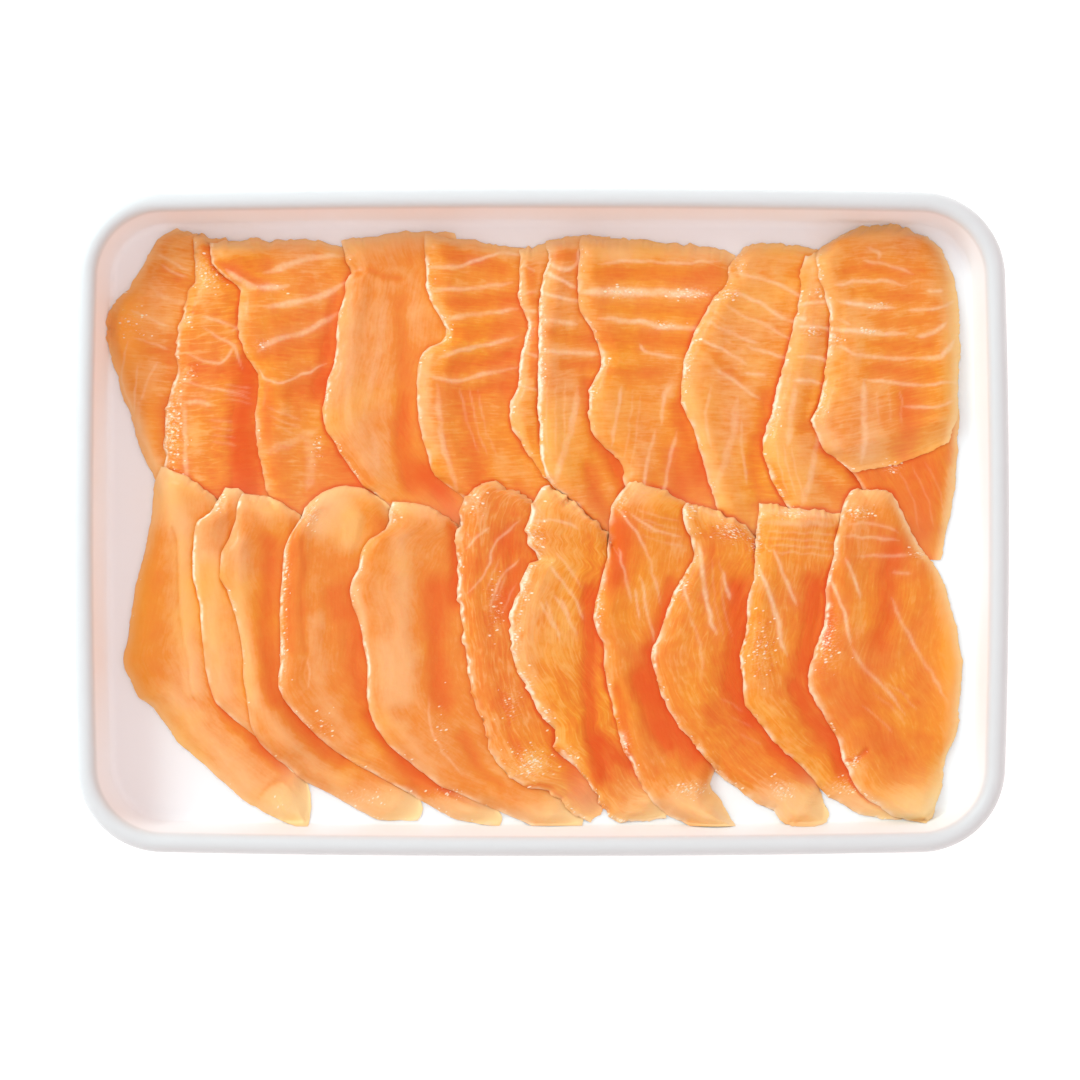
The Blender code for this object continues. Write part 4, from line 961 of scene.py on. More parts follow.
@dataclass(frozen=True)
class FoamFinish:
    """White expanded foam with a satin skin and faint pressed beads, brightest inside the tray.

    Lengths are in metres. Clouds darken the lip, down to lip_shade. The lip's darker grey is painted
    shade and the brighter inside is painted light. Inside the tray the far and left walls take the
    inside colour, a painted reflection of warm light that comes through the flesh, and the others the
    cool one, painted as white in full light; side says how fast the one turns to the other, and where.
    The inside begins below inside_top and comes in over fade. Bead counts the beads of each metre, and
    relief is their share and depth.
    """

    # painted shade: the lip is a darker grey than the foam inside
    lip: tuple = (0.655, 0.665, 0.675)
    lip_shade: float = 0.985
    # painted light: the brighter inside, warm with painted reflection, and cool white as if in full light
    inside: tuple = (0.865, 0.835, 0.84)
    cool: tuple = (0.87, 0.91, 0.955)
    side: tuple = (9.0, 0.3)
    inside_top: float = 0.0215
    fade: float = 0.0035
    bead: float = 620.0
    relief: tuple = (0.25, 0.00012)
    roughness: float = 0.45
    scatter: float = 0.003

    def material(self) -> bpy.types.Material:
        """Builds the material.

        Returns:
            The foam.
        """
        sheet = NodeSheet("white foam")
        x, y, z = sheet.node("ShaderNodeSeparateXYZ", {0: sheet.place}).outputs
        depth = sheet.math("SUBTRACT", self.inside_top, z)
        below_lip = sheet.math("DIVIDE", depth, self.fade, clamp=True)
        cells = sheet.node("ShaderNodeTexVoronoi", {"Vector": sheet.place, "Scale": self.bead},
                           feature="SMOOTH_F1")
        cloud = sheet.noise(sheet.place, 90.0, 3.0)
        # painted shade: the lip's darker grey, with clouds on it
        lip = sheet.blend(cloud, self.lip, tuple(self.lip_shade * part for part in self.lip))
        # painted light inside the tray: a warm painted reflection on the far and left walls, cool white on
        # the others
        near = sheet.scaled(sheet.math("SUBTRACT", x, y), *self.side, clamp=True)
        inner = sheet.math("MULTIPLY", below_lip, sheet.attribute("inside"))
        beads = sheet.scaled(cloud, 0.6, cells.outputs["Distance"])
        return sheet.shade({
            "Base Color": sheet.blend(inner, lip, sheet.blend(near, self.inside, self.cool)),
            "Normal": sheet.bump(beads, *self.relief),
            "Roughness": self.roughness,
            "Specular IOR Level": 0.35,
            "Subsurface Weight": 0.6,
            "Subsurface Radius": (1.0, 1.0, 1.0),
            "Subsurface Scale": self.scatter,
        })


@dataclass(frozen=True)
class FleshFinish:
    """Moist raw salmon: deep to pale orange flesh with cream fat under a wet film.

    Deep, plain and pale are the flesh's tones, and gold and honey are plain and pale flesh at their
    most golden; the deep and pale ends also carry the painted shade and painted light of the tone.
    Thin is painted light where the tray shines through thin flesh, glow is painted golden light, and
    the glint colour is the painted highlight of glints, haze and shine. Fibres, flakes, glint and haze
    are the bumps of their patterns for each millimetre, across the slice and along it. The flakes'
    pale lines end as sharply as flake_edge says. Relief is its share and its depth in metres. Scatter
    is how far red light travels, in metres, and its tint is the share of each colour.
    """

    deep: tuple = (0.73, 0.080, 0.008)
    plain: tuple = (0.785, 0.254, 0.041)
    gold: tuple = (0.825, 0.298, 0.025)
    pale: tuple = (0.88, 0.49, 0.225)
    honey: tuple = (0.89, 0.48, 0.135)
    fat: tuple = (0.92, 0.64, 0.41)
    thin: tuple = (0.96, 0.69, 0.34)
    # painted highlight: the colour of the glints, haze and shine
    glint_colour: tuple = (0.97, 0.82, 0.62)
    glow: tuple = (0.95, 0.37, 0.04)
    fibres: tuple = (1.4, 0.2)
    flakes: tuple = (0.45, 0.09)
    flake_edge: float = 16.0
    flake_tone: float = 0.42
    glint: tuple = (0.95, 1.5)
    haze: tuple = (1.1, 2.0)
    relief: tuple = (0.6, 0.0003)
    scatter: float = 0.0014
    scatter_tint: tuple = (1.0, 0.38, 0.17)

    def material(self) -> bpy.types.Material:
        """Builds the material.

        Returns:
            The flesh.
        """
        sheet = FleshSheet(self)
        glints = sheet.glints()
        relief = sheet.scaled(sheet.attribute("grain"), sheet.fibres)
        relief = sheet.scaled(glints, 0.5, sheet.scaled(sheet.fine, 0.35, relief))
        dampness = sheet.scaled(sheet.attribute("wet"), -0.15, 0.34)
        return sheet.shade({
            "Base Color": sheet.blend(glints, sheet.colour(), self.glint_colour),
            "Normal": sheet.bump(relief, *self.relief),
            "Roughness": sheet.scaled(sheet.fine, 0.12, dampness),
            "Subsurface Weight": sheet.scaled(sheet.attribute("body"), 0.5),
            "Subsurface Radius": self.scatter_tint,
            "Subsurface Scale": self.scatter,
            "IOR": 1.38,
            "Specular IOR Level": 0.22,
            "Coat Weight": 0.12,
            "Coat Roughness": 0.1,
            "Coat IOR": 1.34,
        })


class FleshSheet(NodeSheet):
    """The patterns of the flesh, from noise and from what is painted on each slice."""

    def __init__(self, finish: FleshFinish) -> None:
        """Starts the material with its noises.

        Args:
            finish: the flesh's colours and sizes.
        """
        super().__init__("salmon flesh")
        self.finish = finish
        self.along = self.node("ShaderNodeUVMap", uv_map="slice").outputs["UV"]
        self.fine = self.noise(self.place, 1100.0)
        self.fibres = self.striped(finish.fibres, 4.0)

    def striped(self, bumps: tuple, detail: float) -> Plug:
        """Noise stretched along the slice, or across it where the fibres run that way.

        Args:
            bumps: bumps for each millimetre, across the fibres and along them.
            detail: octaves of the noise.

        Returns:
            The noise's socket.
        """
        inputs = {0: self.attribute("crosswise"), 4: self.stretched(self.along, bumps),
                  5: self.stretched(self.along, bumps[::-1])}
        mixed = self.node("ShaderNodeMix", inputs, data_type="VECTOR")
        return self.noise(mixed.outputs[1], 1.0, detail)

    def flakes(self) -> Plug:
        """Share of the thin pale lines between the flakes of muscle.

        Returns:
            The share's socket.
        """
        level = self.math("ADD", self.striped(self.finish.flakes, 1.0), -0.5)
        line = self.scaled(self.math("ABSOLUTE", level), -self.finish.flake_edge, 1.0, clamp=True)
        return self.math("MULTIPLY", line, self.attribute("grain"))

    def tone(self) -> Plug:
        """The painted tone with clouds, mottling, fibres, specks and flakes on it.

        Returns:
            The tone's socket.
        """
        flaky = self.scaled(self.attribute("grain"), 1.0, 0.5)
        cloud = self.scaled(self.noise(self.place, 110.0), 0.6, -0.37)
        mottle = self.scaled(self.noise(self.place, 330.0, 3.0), 0.8, -0.4)
        mottle = self.math("MULTIPLY", mottle, flaky)
        streak = self.math("MULTIPLY", self.math("ADD", self.fibres, -0.5), flaky)
        speck = self.scaled(self.fine, 0.3, -0.15)
        flakes = self.math("MULTIPLY", self.flakes(), self.finish.flake_tone)
        # the painted tone holds painted shade beside covering slices and painted light on the edges
        tone = self.attribute("tone")
        for part in (cloud, mottle, streak, speck, flakes):
            tone = self.math("ADD", tone, part)
        return tone

    def rising(self, tone: Plug, rate: float) -> Plug:
        """Share that rises towards 1 as the tone leaves 0 on one side.

        Args:
            tone: the tone's socket.
            rate: how fast it rises; below 0 for the pale side and above 0 for the deep side.

        Returns:
            The share's socket.
        """
        fall = self.math("EXPONENT", self.math("MINIMUM", self.math("MULTIPLY", tone, rate), 0.0))
        return self.math("SUBTRACT", 1.0, fall)

    def colour(self) -> Plug:
        """Colour of the flesh with its fat, thin places, glow, haze and shine.

        Returns:
            The colour's socket.
        """
        look = self.finish
        tone = self.tone()
        offset = self.math("ADD", self.attribute("golden"), -1.5)
        golden = self.scaled(self.noise(self.place, 55.0), 3.0, offset, clamp=True)
        plain = self.blend(golden, look.plain, look.gold)
        pale = self.blend(golden, look.pale, look.honey)
        colour = self.blend(self.rising(tone, -1.2), plain, pale)
        colour = self.blend(self.rising(tone, 0.95), colour, look.deep)
        # painted light: glow and thin places; painted highlights: haze and shine
        colour = self.blend(self.attribute("glow"), colour, look.glow)
        colour = self.blend(self.attribute("thin"), colour, look.thin)
        colour = self.blend(self.fat(), colour, look.fat)
        colour = self.blend(self.haze(), colour, look.glint_colour)
        return self.blend(self.attribute("shine"), colour, look.glint_colour)

    def glints(self) -> Plug:
        """Share of bright wet dots, most of them where the flesh is wet.

        Returns:
            The share's socket.
        """
        # painted glints: bright dots that take the painted highlight colour
        inputs = {"Vector": self.stretched(self.along, self.finish.glint), "Scale": 1.0}
        dots = self.node("ShaderNodeTexVoronoi", inputs, feature="F1")
        draw = self.node("ShaderNodeSeparateColor", {0: dots.outputs["Color"]})
        chosen = self.math("LESS_THAN", draw.outputs[0], self.attribute("wet"))
        size = self.scaled(draw.outputs[1], 1.7, 1.1)
        dot = self.scaled(dots.outputs["Distance"], -5.0, size, clamp=True)
        return self.math("MULTIPLY", self.math("MULTIPLY", dot, chosen), 0.85)

    def haze(self) -> Plug:
        """Share of broken white shine on the wet places.

        Returns:
            The share's socket.
        """
        cloud = self.noise(self.stretched(self.along, self.finish.haze), 1.0, 3.0)
        wet = self.math("MULTIPLY", self.attribute("wet"), 0.6)
        return self.math("MULTIPLY", self.scaled(cloud, 5.0, -2.5, clamp=True), wet)

    def fat(self) -> Plug:
        """Share of fat: the painted lines, broken up a little."""
        # the fat share also holds the painted highlight along the left cut edge
        share = self.math("MULTIPLY", self.attribute("fat"), self.scaled(self.fine, 0.9, 0.6))
        return self.math("MINIMUM", share, 1.0)


@dataclass(frozen=True)
class MoistureFinish:
    """Small bright beads of moisture on the flesh."""

    # painted highlight: the beads are opaque and pale so that they read as glints, where real moisture is
    # clear
    colour: tuple = (0.96, 0.76, 0.54)
    tint: tuple = (0.92, 0.58, 0.32)

    def material(self) -> bpy.types.Material:
        """Builds the material.

        Returns:
            The moisture.
        """
        sheet = NodeSheet("moisture")
        cloud = sheet.noise(sheet.place, 300.0)
        return sheet.shade({
            "Base Color": sheet.blend(cloud, self.colour, self.tint),
            "Roughness": 0.06,
            "Specular IOR Level": 0.9,
            "Coat Weight": 0.6,
            "Coat Roughness": 0.03,
        })


@dataclass(frozen=True)
class StageFinish:
    """Plain pale floor, lit a little from within as a light table is."""

    colour: tuple = (0.98, 0.98, 0.98)
    glow: float = 0.3

    def material(self) -> bpy.types.Material:
        """Builds the material.

        Returns:
            The floor's finish.
        """
        colour = opaque(self.colour)
        return NodeSheet("pale floor").shade({
            "Base Color": colour,
            "Roughness": 0.9,
            "Specular IOR Level": 0.1,
            "Emission Color": colour,
            "Emission Strength": self.glow,
        })


# ---------------- geometry node trees

class Socket(Enum):
    """Kinds of input that a geometry tree of this object takes."""

    LENGTH = "NodeSocketFloat"
    COUNT = "NodeSocketInt"
    PIECE = "NodeSocketObject"
    FINISH = "NodeSocketMaterial"


class GeometryTree(NodeLayout):
    """A geometry node tree with named inputs, and the way to run it once."""

    def __init__(self, name: str) -> None:
        """Starts an empty tree.

        Args:
            name: the tree's name.
        """
        self.tree = bpy.data.node_groups.new(name, "GeometryNodeTree")
        for side in ("INPUT", "OUTPUT"):
            self.tree.interface.new_socket("Geometry", in_out=side, socket_type="NodeSocketGeometry")
        self.entry = self.node("NodeGroupInput")
        self.exit = self.node("NodeGroupOutput")
        self.identifiers: dict[str, str] = {}

    def add_input(self, name: str, kind: Socket) -> Plug:
        """Adds a named input.

        Args:
            name: the input's name.
            kind: what it takes.

        Returns:
            The input's socket inside the tree.
        """
        made = self.tree.interface.new_socket(name, in_out="INPUT", socket_type=kind.value)
        self.identifiers[name] = made.identifier
        return self.entry.outputs[name]

    def finish(self, geometry: Plug, finish: Plug) -> None:
        """Ends the tree in real geometry with its material.

        Args:
            geometry: what the tree made.
            finish: the material's socket.
        """
        real = self.node("GeometryNodeRealizeInstances", {"Geometry": geometry})
        dressed = self.node("GeometryNodeSetMaterial", {"Geometry": real.outputs[0], "Material": finish})
        self.fill(self.exit, {0: dressed.outputs[0]})

    def run(self, carrier: bpy.types.Object, name: str, values: dict) -> bpy.types.Mesh:
        """Runs the tree on an object and returns the plain mesh that it makes.

        Args:
            carrier: the object that the tree reads.
            name: name of the new mesh.
            values: the tree's inputs, by name.

        Returns:
            The new mesh; the carrier keeps no modifier.
        """
        modifier = carrier.modifiers.new(self.tree.name, "NODES")
        modifier.node_group = self.tree
        for key, value in values.items():
            modifier[self.identifiers[key]] = value
        bpy.context.view_layer.update()
        reading = bpy.context.evaluated_depsgraph_get()
        mesh = bpy.data.meshes.new_from_object(carrier.evaluated_get(reading))
        mesh.name = name
        carrier.modifiers.remove(modifier)
        return mesh


# ---------------- tray

@dataclass
class FoamTray:
    """The rolled-lip tray, swept along its own outline."""

    sizes: TraySizes
    finish: FoamFinish
    lip_steps: int = 20
    fillet_steps: int = 8
    corner_steps: int = 20
    side_steps: int = 24
    under_lip: tuple = ((0.5, 0.35), (1.1, 0.45))
    wall_drop: float = 0.5

    @staticmethod
    def arc(middle: tuple, radius: float, first: float, last: float, steps: int) -> list:
        """Places on an arc of the section.

        Args:
            middle: (inset, height) of its middle.
            radius: its radius.
            first: angle where it starts, from the side of the rim.
            last: angle where it ends.
            steps: straight steps that it is drawn with.

        Returns:
            (inset, height) pairs in millimetres.
        """
        return [(middle[0] - radius * math.cos(angle), middle[1] + radius * math.sin(angle))
                for angle in np.linspace(first, last, steps + 1)]

    def profile(self) -> list[tuple[float, float]]:
        """The tray's whole section, from its upper floor round the lip to its base.

        Returns:
            (inset, height) pairs in millimetres.
        """
        size = self.sizes
        foot = (size.fillet_centre(), size.foam + size.fillet)
        lip = (size.lip_radius, size.height - size.lip_radius)
        under = (*self.under_lip, (size.lip_end()[0] - size.foam, self.wall_drop))
        section = self.arc(foot, size.fillet, -math.pi / 2, -size.draft, self.fillet_steps)
        section += self.arc(lip, size.lip_radius, math.pi - size.draft, 0.0, self.lip_steps)
        section += [(inset, lip[1] - drop) for inset, drop in under]
        return section + self.arc(foot, foot[1], -size.draft, -math.pi / 2, self.fillet_steps)

    def outline(self) -> list[tuple[float, float]]:
        """The path that the section is swept along: a bowed, rounded rectangle.

        Returns:
            (x, y) pairs in millimetres.
        """
        size = self.sizes
        halves = size.straight()
        points = []
        turns = ((1, 1, 0, 1), (-1, 1, -1, 0), (-1, -1, 0, -1), (1, -1, 1, 0))
        for turn, (sign_x, sign_y, out_x, out_y) in enumerate(turns):
            for step in range(self.corner_steps):
                angle = 0.5 * math.pi * (turn + step / self.corner_steps)
                points.append((sign_x * halves[0] + size.corner * math.cos(angle),
                               sign_y * halves[1] + size.corner * math.sin(angle)))
            half, straight = halves if out_x == 0 else halves[::-1]
            for step in range(self.side_steps):
                share = step / self.side_steps
                reach = straight + size.corner + size.bow * 4.0 * share * (1.0 - share)
                along = half * (2.0 * share - 1.0)
                points.append((out_x * reach - out_y * along, out_y * reach + out_x * along))
        return points

    def sweep_tree(self) -> GeometryTree:
        """Tree that sweeps a section along the outline.

        Returns:
            The tree.
        """
        tree = GeometryTree("rolled lip sweep")
        section = tree.add_input("Section", Socket.PIECE)
        finish = tree.add_input("Foam", Socket.FINISH)
        weld = tree.add_input("Weld distance", Socket.LENGTH)
        source = tree.node("GeometryNodeObjectInfo", {"Object": section})
        path = tree.node("GeometryNodeSetCurveNormal", {"Curve": tree.entry.outputs[0]}, mode="Z_UP")
        swept = tree.node("GeometryNodeCurveToMesh",
                          {"Curve": path.outputs[0], "Profile Curve": source.outputs["Geometry"]})
        welded = tree.node("GeometryNodeMergeByDistance", {"Geometry": swept.outputs[0], "Distance": weld})
        tree.finish(welded.outputs[0], finish)
        return tree

    def build(self) -> bpy.types.Object:
        """Sweeps the section, closes floor and base, and puts the tray in the scene.

        Returns:
            The finished tray.
        """
        path = guide_curve("tray_outline", self.outline(), True)
        section = guide_curve("tray_section", [(-inset, -height) for inset, height in self.profile()], False)
        values = {"Section": section, "Foam": self.finish.material(), "Weld distance": 0.001 * MM}
        mesh = self.sweep_tree().run(path, "foam_tray", values)
        for guide in (path, section):
            bpy.data.objects.remove(guide)
        shape = bmesh.new()
        shape.from_mesh(mesh)
        rims = [edge for edge in shape.edges if edge.is_boundary]
        bmesh.ops.holes_fill(shape, edges=rims, sides=0)
        bmesh.ops.recalc_face_normals(shape, faces=list(shape.faces))
        shape.to_mesh(mesh)
        shape.free()
        smooth_shading(mesh, 40.0)
        self._mark_inside(mesh)
        tray = add_object("foam_tray", mesh)
        dress(tray, "foam", "tray")
        return tray

    @staticmethod
    def _mark_inside(mesh: bpy.types.Mesh) -> None:
        """Marks the points of the tray's inside: those that face up or towards its middle.

        Args:
            mesh: the tray's mesh.
        """
        places, facing = (np.zeros(len(mesh.vertices) * 3) for _ in range(2))
        mesh.vertices.foreach_get("co", places)
        mesh.vertices.foreach_get("normal", facing)
        facing = facing.reshape(-1, 3)
        outward = (np.sign(places.reshape(-1, 3)) * facing)[:, :2]
        inward = (outward.min(axis=1) < -0.2) & (outward.max(axis=1) < 0.2)
        # the marked points take the brighter painted light of the inside colour
        paint(mesh, "inside", (facing[:, 2] > 0.9) | inward)


# ---------------- slices

class Pile:
    """Height of all that has been laid in the tray, on a fine grid seen from above."""

    CELL = 0.5
    MARGIN = 4.0

    def __init__(self, tray: TraySizes) -> None:
        """Starts with the empty tray.

        Args:
            tray: the tray's sizes.
        """
        half_x = tray.length / 2 + self.MARGIN
        half_y = tray.width / 2 + self.MARGIN
        self.low = (-half_x, -half_y)
        across = np.arange(-half_x, half_x, self.CELL)
        up = np.arange(-half_y, half_y, self.CELL)
        x, y = np.meshgrid(across, up, indexing="ij")
        self.heights = tray.floor_height(tray.inset(x, y))
        self.owner = np.zeros(x.shape, int)

    def _cells(self, x: Array, y: Array) -> list[Array]:
        """Grid coordinates of places, kept inside the grid."""
        return [np.clip((place - low) / self.CELL, 0, count - 1.001)
                for place, low, count in zip((x, y), self.low, self.heights.shape)]

    def at(self, x: Array, y: Array, grid: Array | None = None) -> Array:
        """Height of the pile at places.

        Args:
            x, y: places on the tray.
            grid: another grid of the same shape to read instead.

        Returns:
            The height at each place.
        """
        column, row = self._cells(x, y)
        i, j = column.astype(int), row.astype(int)
        return between(self.heights if grid is None else grid, i, j, column - i, row - j)

    def lay(self, x: Array, y: Array, top: Array, number: int) -> None:
        """Adds a sheet's top surface.

        Args:
            x, y: grids of places on the tray.
            top: height of the sheet there.
            number: the sheet's number, counted from 1 at the bottom of the pile.
        """
        x, y, top = (enlarged(grid, 2) for grid in (x, y, top))
        cells = tuple(np.rint(cell).astype(int) for cell in self._cells(x, y))
        np.maximum.at(self.heights, cells, top)
        self.owner[cells] = number

    def nearness(self, number: int, spread: float) -> Array:
        """How near each cell is to the sheets that lie on one sheet.

        Args:
            number: the sheet's number.
            spread: how far the nearness reaches.

        Returns:
            1 at the edge of a covering sheet, falling to 0 away from it.
        """
        covered = (self.owner > number).astype(float)
        return np.clip(2.0 * softened(covered, spread, self.CELL), 0.0, 1.0)

    def spread(self) -> Array:
        """The pile's heights, each raised to the highest of its neighbours.

        Returns:
            The raised heights.
        """
        wide, high = self.heights.shape
        framed = np.pad(self.heights, 1, mode="edge")
        shifts = [(i, j) for i in range(3) for j in range(3)]
        return np.max([framed[i:i + wide, j:j + high] for i, j in shifts], axis=0)


@dataclass
class SalmonSlice:
    """One slice of salmon, laid as a soft sheet on the pile.

    Its lengths are in millimetres. Waves, flakes and creases are (size, share of the thickness), and
    a sway is (size, how far strokes stray). Each row of teeth is (length, share of the raggedness).
    Crevice and shadow are (spread, depth) of painted shade beside a covering slice, less deep within
    head_reach of the head. A pale edge is painted light, (reach, how much paler), and a thin edge is
    the reach of the painted light where the tray shines through.
    """

    node: str
    look: Look
    tray: TraySizes
    number: int
    seed: int
    thickness: float = 2.8
    edge_share: float = 0.09
    thin_share: float = 0.05
    edge_round: float = 4.8
    head_round: float = 4.5
    lap_round: float = 7.0
    tip_round: float = 10.0
    tip_crown: float = 1.0
    tooth_reach: float = 1.6
    cells_across: int = 110
    cells_along: int = 240
    coarse: int = 5
    air: float = 0.06
    wall_clearance: float = 6.9
    sag: float = 0.012
    settle_passes: int = 320
    cling: float = 3.0
    band_relief: float = 0.45
    fold_tone: float = 0.1
    fat_relief: float = 0.06
    waves: tuple = (9.0, 0.06)
    flakes: tuple = (1.5, 0.03)
    creases: tuple = (2.6, 0.035)
    fat_sway: tuple = (2.6, 0.35)
    band_sway: tuple = (6.0, 0.8)
    teeth: tuple = ((5.0, 1.1), (1.9, 0.7), (0.8, 0.6))
    crevice: tuple = (0.5, 1.9)
    shadow: tuple = (3.2, 0.4)
    head_reach: float = 22.0
    pale_rim: tuple = (2.0, 0.35)
    pale_head: tuple = (4.0, 0.6)
    pale_lap: tuple = (2.5, 0.4)
    thin_tip: float = 11.0
    thin_edge: float = 1.8

    def noise(self, size: float, number: int) -> Array:
        """Soft noise over the tray, at a size and with the slice's own seed."""
        return soft_noise(self.x, self.y, size, self.seed + number)

    def run_noise(self, size: float, number: int) -> Array:
        """Soft noise along and across the slice, at a size and with the slice's own seed."""
        return soft_noise(self.along_mm, self.across_mm, size, self.seed + number)

    def swayed(self, sway: tuple, number: int) -> list[Array]:
        """Both coordinates of the points, moved aside at random."""
        return [axis + sway[1] * self.noise(sway[0], number + n) for n, axis in enumerate((self.x, self.y))]

    def plan(self) -> None:
        """Works out where each grid point lies, seen from above."""
        i = np.linspace(0.0, 1.0, self.cells_across + 1)
        closer_at_edges = i - 0.055 * np.sin(2.0 * math.pi * i)
        v = np.linspace(0.0, 1.0, self.cells_along + 1)
        across, along = np.meshgrid(closer_at_edges, v, indexing="ij")
        left, length = along_path(self.look.left, v)
        right, _ = along_path(self.look.right, v)
        row = right - left
        reach = np.maximum(np.hypot(*row.T), 1e-6)
        self.across_mm = self.from_left = across * reach
        self.along_mm = self.from_head = along * length
        self.from_right = (1.0 - across) * reach
        self.from_tip = (1.0 - along) * length
        gaps = (self.from_left, self.from_right, self.from_head, self.from_tip)
        self.edge_gap = np.min(gaps, axis=0)
        aside, onward = self._edge_shift(across, along)
        row_x, row_y = row.T
        x = left[:, 0] + row_x * across + aside * (row_x / reach) + onward * (-row_y / reach)
        y = left[:, 1] + row_y * across + aside * (row_y / reach) + onward * (row_x / reach)
        self.x, self.y = self._held_inside(np.stack([x, y]))

    def _edge_shift(self, across: Array, along: Array) -> tuple[Array, Array]:
        """Moves along the row and across it that round the ends and roughen the cut edges.

        Args:
            across: share of the row from the left edge.
            along: share of the edges from the head.

        Returns:
            The two moves of each point.
        """
        arch = 4.0 * across * (1.0 - across)
        near_head = np.maximum(1.0 - along / 0.3, 0.0)
        near_tip = np.maximum(1.0 - (1.0 - along) / 0.1, 0.0)
        bulge = arch * (self.look.crown * near_head - self.tip_crown * near_tip)
        left = self._teeth(self.along_mm, 0) * np.exp(-self.from_left / self.tooth_reach)
        right = self._teeth(self.along_mm, 1) * np.exp(-self.from_right / self.tooth_reach)
        head = self._teeth(self.across_mm, 2) * 1.8 * np.exp(-self.from_head / 3.0)
        tip = self._teeth(self.across_mm, 3) * np.exp(-self.from_tip / 2.0)
        return left + right, bulge + head + tip

    def _teeth(self, run: Array, edge: int) -> Array:
        """Roughness of a cut edge along its run.

        Args:
            run: length along the edge.
            edge: the edge's number.

        Returns:
            How far each point moves.
        """
        teeth = 0.0
        for number, (size, depth) in enumerate(self.teeth, start=11):
            noise = soft_noise(run, np.zeros_like(run), size, self.seed + edge + number)
            teeth = teeth + noise * self.look.ragged * depth
        return teeth

    def _held_inside(self, spots: Array) -> Array:
        """Brings points that would touch the wall back onto the floor.

        Args:
            spots: places along and across the tray.

        Returns:
            The places inside the walls.
        """
        radius = self.tray.corner - self.wall_clearance
        half = np.array((self.tray.length, self.tray.width)).reshape(2, 1, 1) / 2
        past = np.maximum(np.abs(spots) - (half - self.wall_clearance - radius), 0.0)
        share = np.minimum(radius / np.maximum(np.hypot(*past), 1e-9), 1.0)
        return np.sign(spots) * (np.abs(spots) - past + past * share)

    def drape(self, pile: Pile) -> None:
        """Lets the sheet sag onto the pile, and adds its own top to the pile.

        Args:
            pile: all that is under the slice.
        """
        close = pile.at(self.x, self.y) + self.air
        rest = pile.at(self.x, self.y, pile.spread()) + self.air
        coarse_rest = rest[::self.coarse, ::self.coarse]
        loose = self._settled(coarse_rest, coarse_rest, self.sag, self.settle_passes)
        start = np.maximum(enlarged(loose, self.coarse), rest)
        base = self._settled(start, rest, self.sag / self.coarse ** 2, self.settle_passes // 4)
        lifted = 1.0 - fade(self.edge_gap, self.cling)
        self.base = close + (np.maximum(rest, blurred(base, 10)) - close) * lifted
        self.top = self.base + self._body()
        pile.lay(self.x, self.y, self.top, self.number)

    @staticmethod
    def _settled(start: Array, rest: Array, sag: float, passes: int) -> Array:
        """Lets a sheet hang between the places where something carries it.

        Args:
            start: first heights of the sheet.
            rest: heights of what is under it.
            sag: how far each place sinks below its neighbours in one pass.
            passes: how many times.

        Returns:
            The settled heights, never below what is under them.
        """
        base = start
        for _ in range(passes):
            base = np.maximum(rest, 0.25 * four_neighbours(base) - sag)
        return base

    def _body(self) -> Array:
        """Thickness of the slice: rounded cut edges, thin tips and low flaky relief.

        Returns:
            The thickness at each point.
        """
        look = self.look
        if look.soft_left:
            left = self._rounding(self.from_left, self.lap_round)
        else:
            left = self.edge_share + (1.0 - self.edge_share) * self._rounding(self.from_left, self.edge_round)
        right = self._rounding(self.from_right, self.lap_round)
        head = self._rounding(self.from_head, self.head_round)
        tip = smooth_step(np.clip(self.from_tip / self.tip_round, 0.0, 1.0))
        self.share = np.maximum(left * right * head * tip, self.thin_share)
        self.fat = self._fat_amount()
        (wave_size, wave), (flake_size, flake), (crease_size, crease) = self.waves, self.flakes, self.creases
        waves = self.noise(wave_size, 21) * wave
        flakes = soft_noise(self.across_mm, self.along_mm / 4.0, flake_size, self.seed + 23) * flake
        lengthways = self.across_mm / (1.0 + 5.0 * look.crosswise)
        sideways = self.along_mm / (6.0 - 5.0 * look.crosswise)
        self.folds = soft_noise(lengthways, sideways, crease_size, self.seed + 22)
        relief = 1.0 + waves + flakes * (0.4 + look.grain) + crease * self.folds
        # bands: partly painted light on ridges and painted shade beside the next slice
        self.bands = self._strokes_sum(look.bands)
        raised = self.band_relief * np.clip(self.bands, -1.0, 1.0)
        return (self.thickness * relief + raised) * self.share + self.fat_relief * self.fat

    @staticmethod
    def _rounding(gap: Array, radius: float) -> Array:
        """Share of the full thickness at a distance from an edge."""
        return (1.0 - (1.0 - np.clip(gap / radius, 0.0, 1.0)) ** 2) ** 0.8

    def _fat_amount(self) -> Array:
        """How much fat shows at each point, from the slice's own fat lines and its pale cut edge.

        Returns:
            The fat at each point.
        """
        swayed = self.swayed(self.fat_sway, 31)
        patchy = 0.85 + 0.3 * self.noise(3.2, 33)
        broken = np.clip(0.7 + 0.9 * self.run_noise(2.2, 34), 0.0, 1.4)
        # painted highlight: the pale left cut edge, painted in the fat's colour
        fat = 0.95 * self.look.rim * broken ** 1.5 * fade(self.from_left, 0.35 + 0.5 * broken)
        for width, amount, *paths in self.look.fat:
            for path in paths:
                near, gap, share = self._near_path(path, width, *swayed)
                taper = np.clip(np.minimum(share, 1.0 - share) / 0.18, 0.0, 1.0) * 0.6 + 0.4
                core = np.exp(-((gap / (0.8 * width * taper)) ** 3))
                line = patchy[near] * taper * (0.85 * core + 0.15 * fade(gap, 2.2 * width))
                fat[near] = np.maximum(fat[near], 0.74 * amount * line)
        return fat

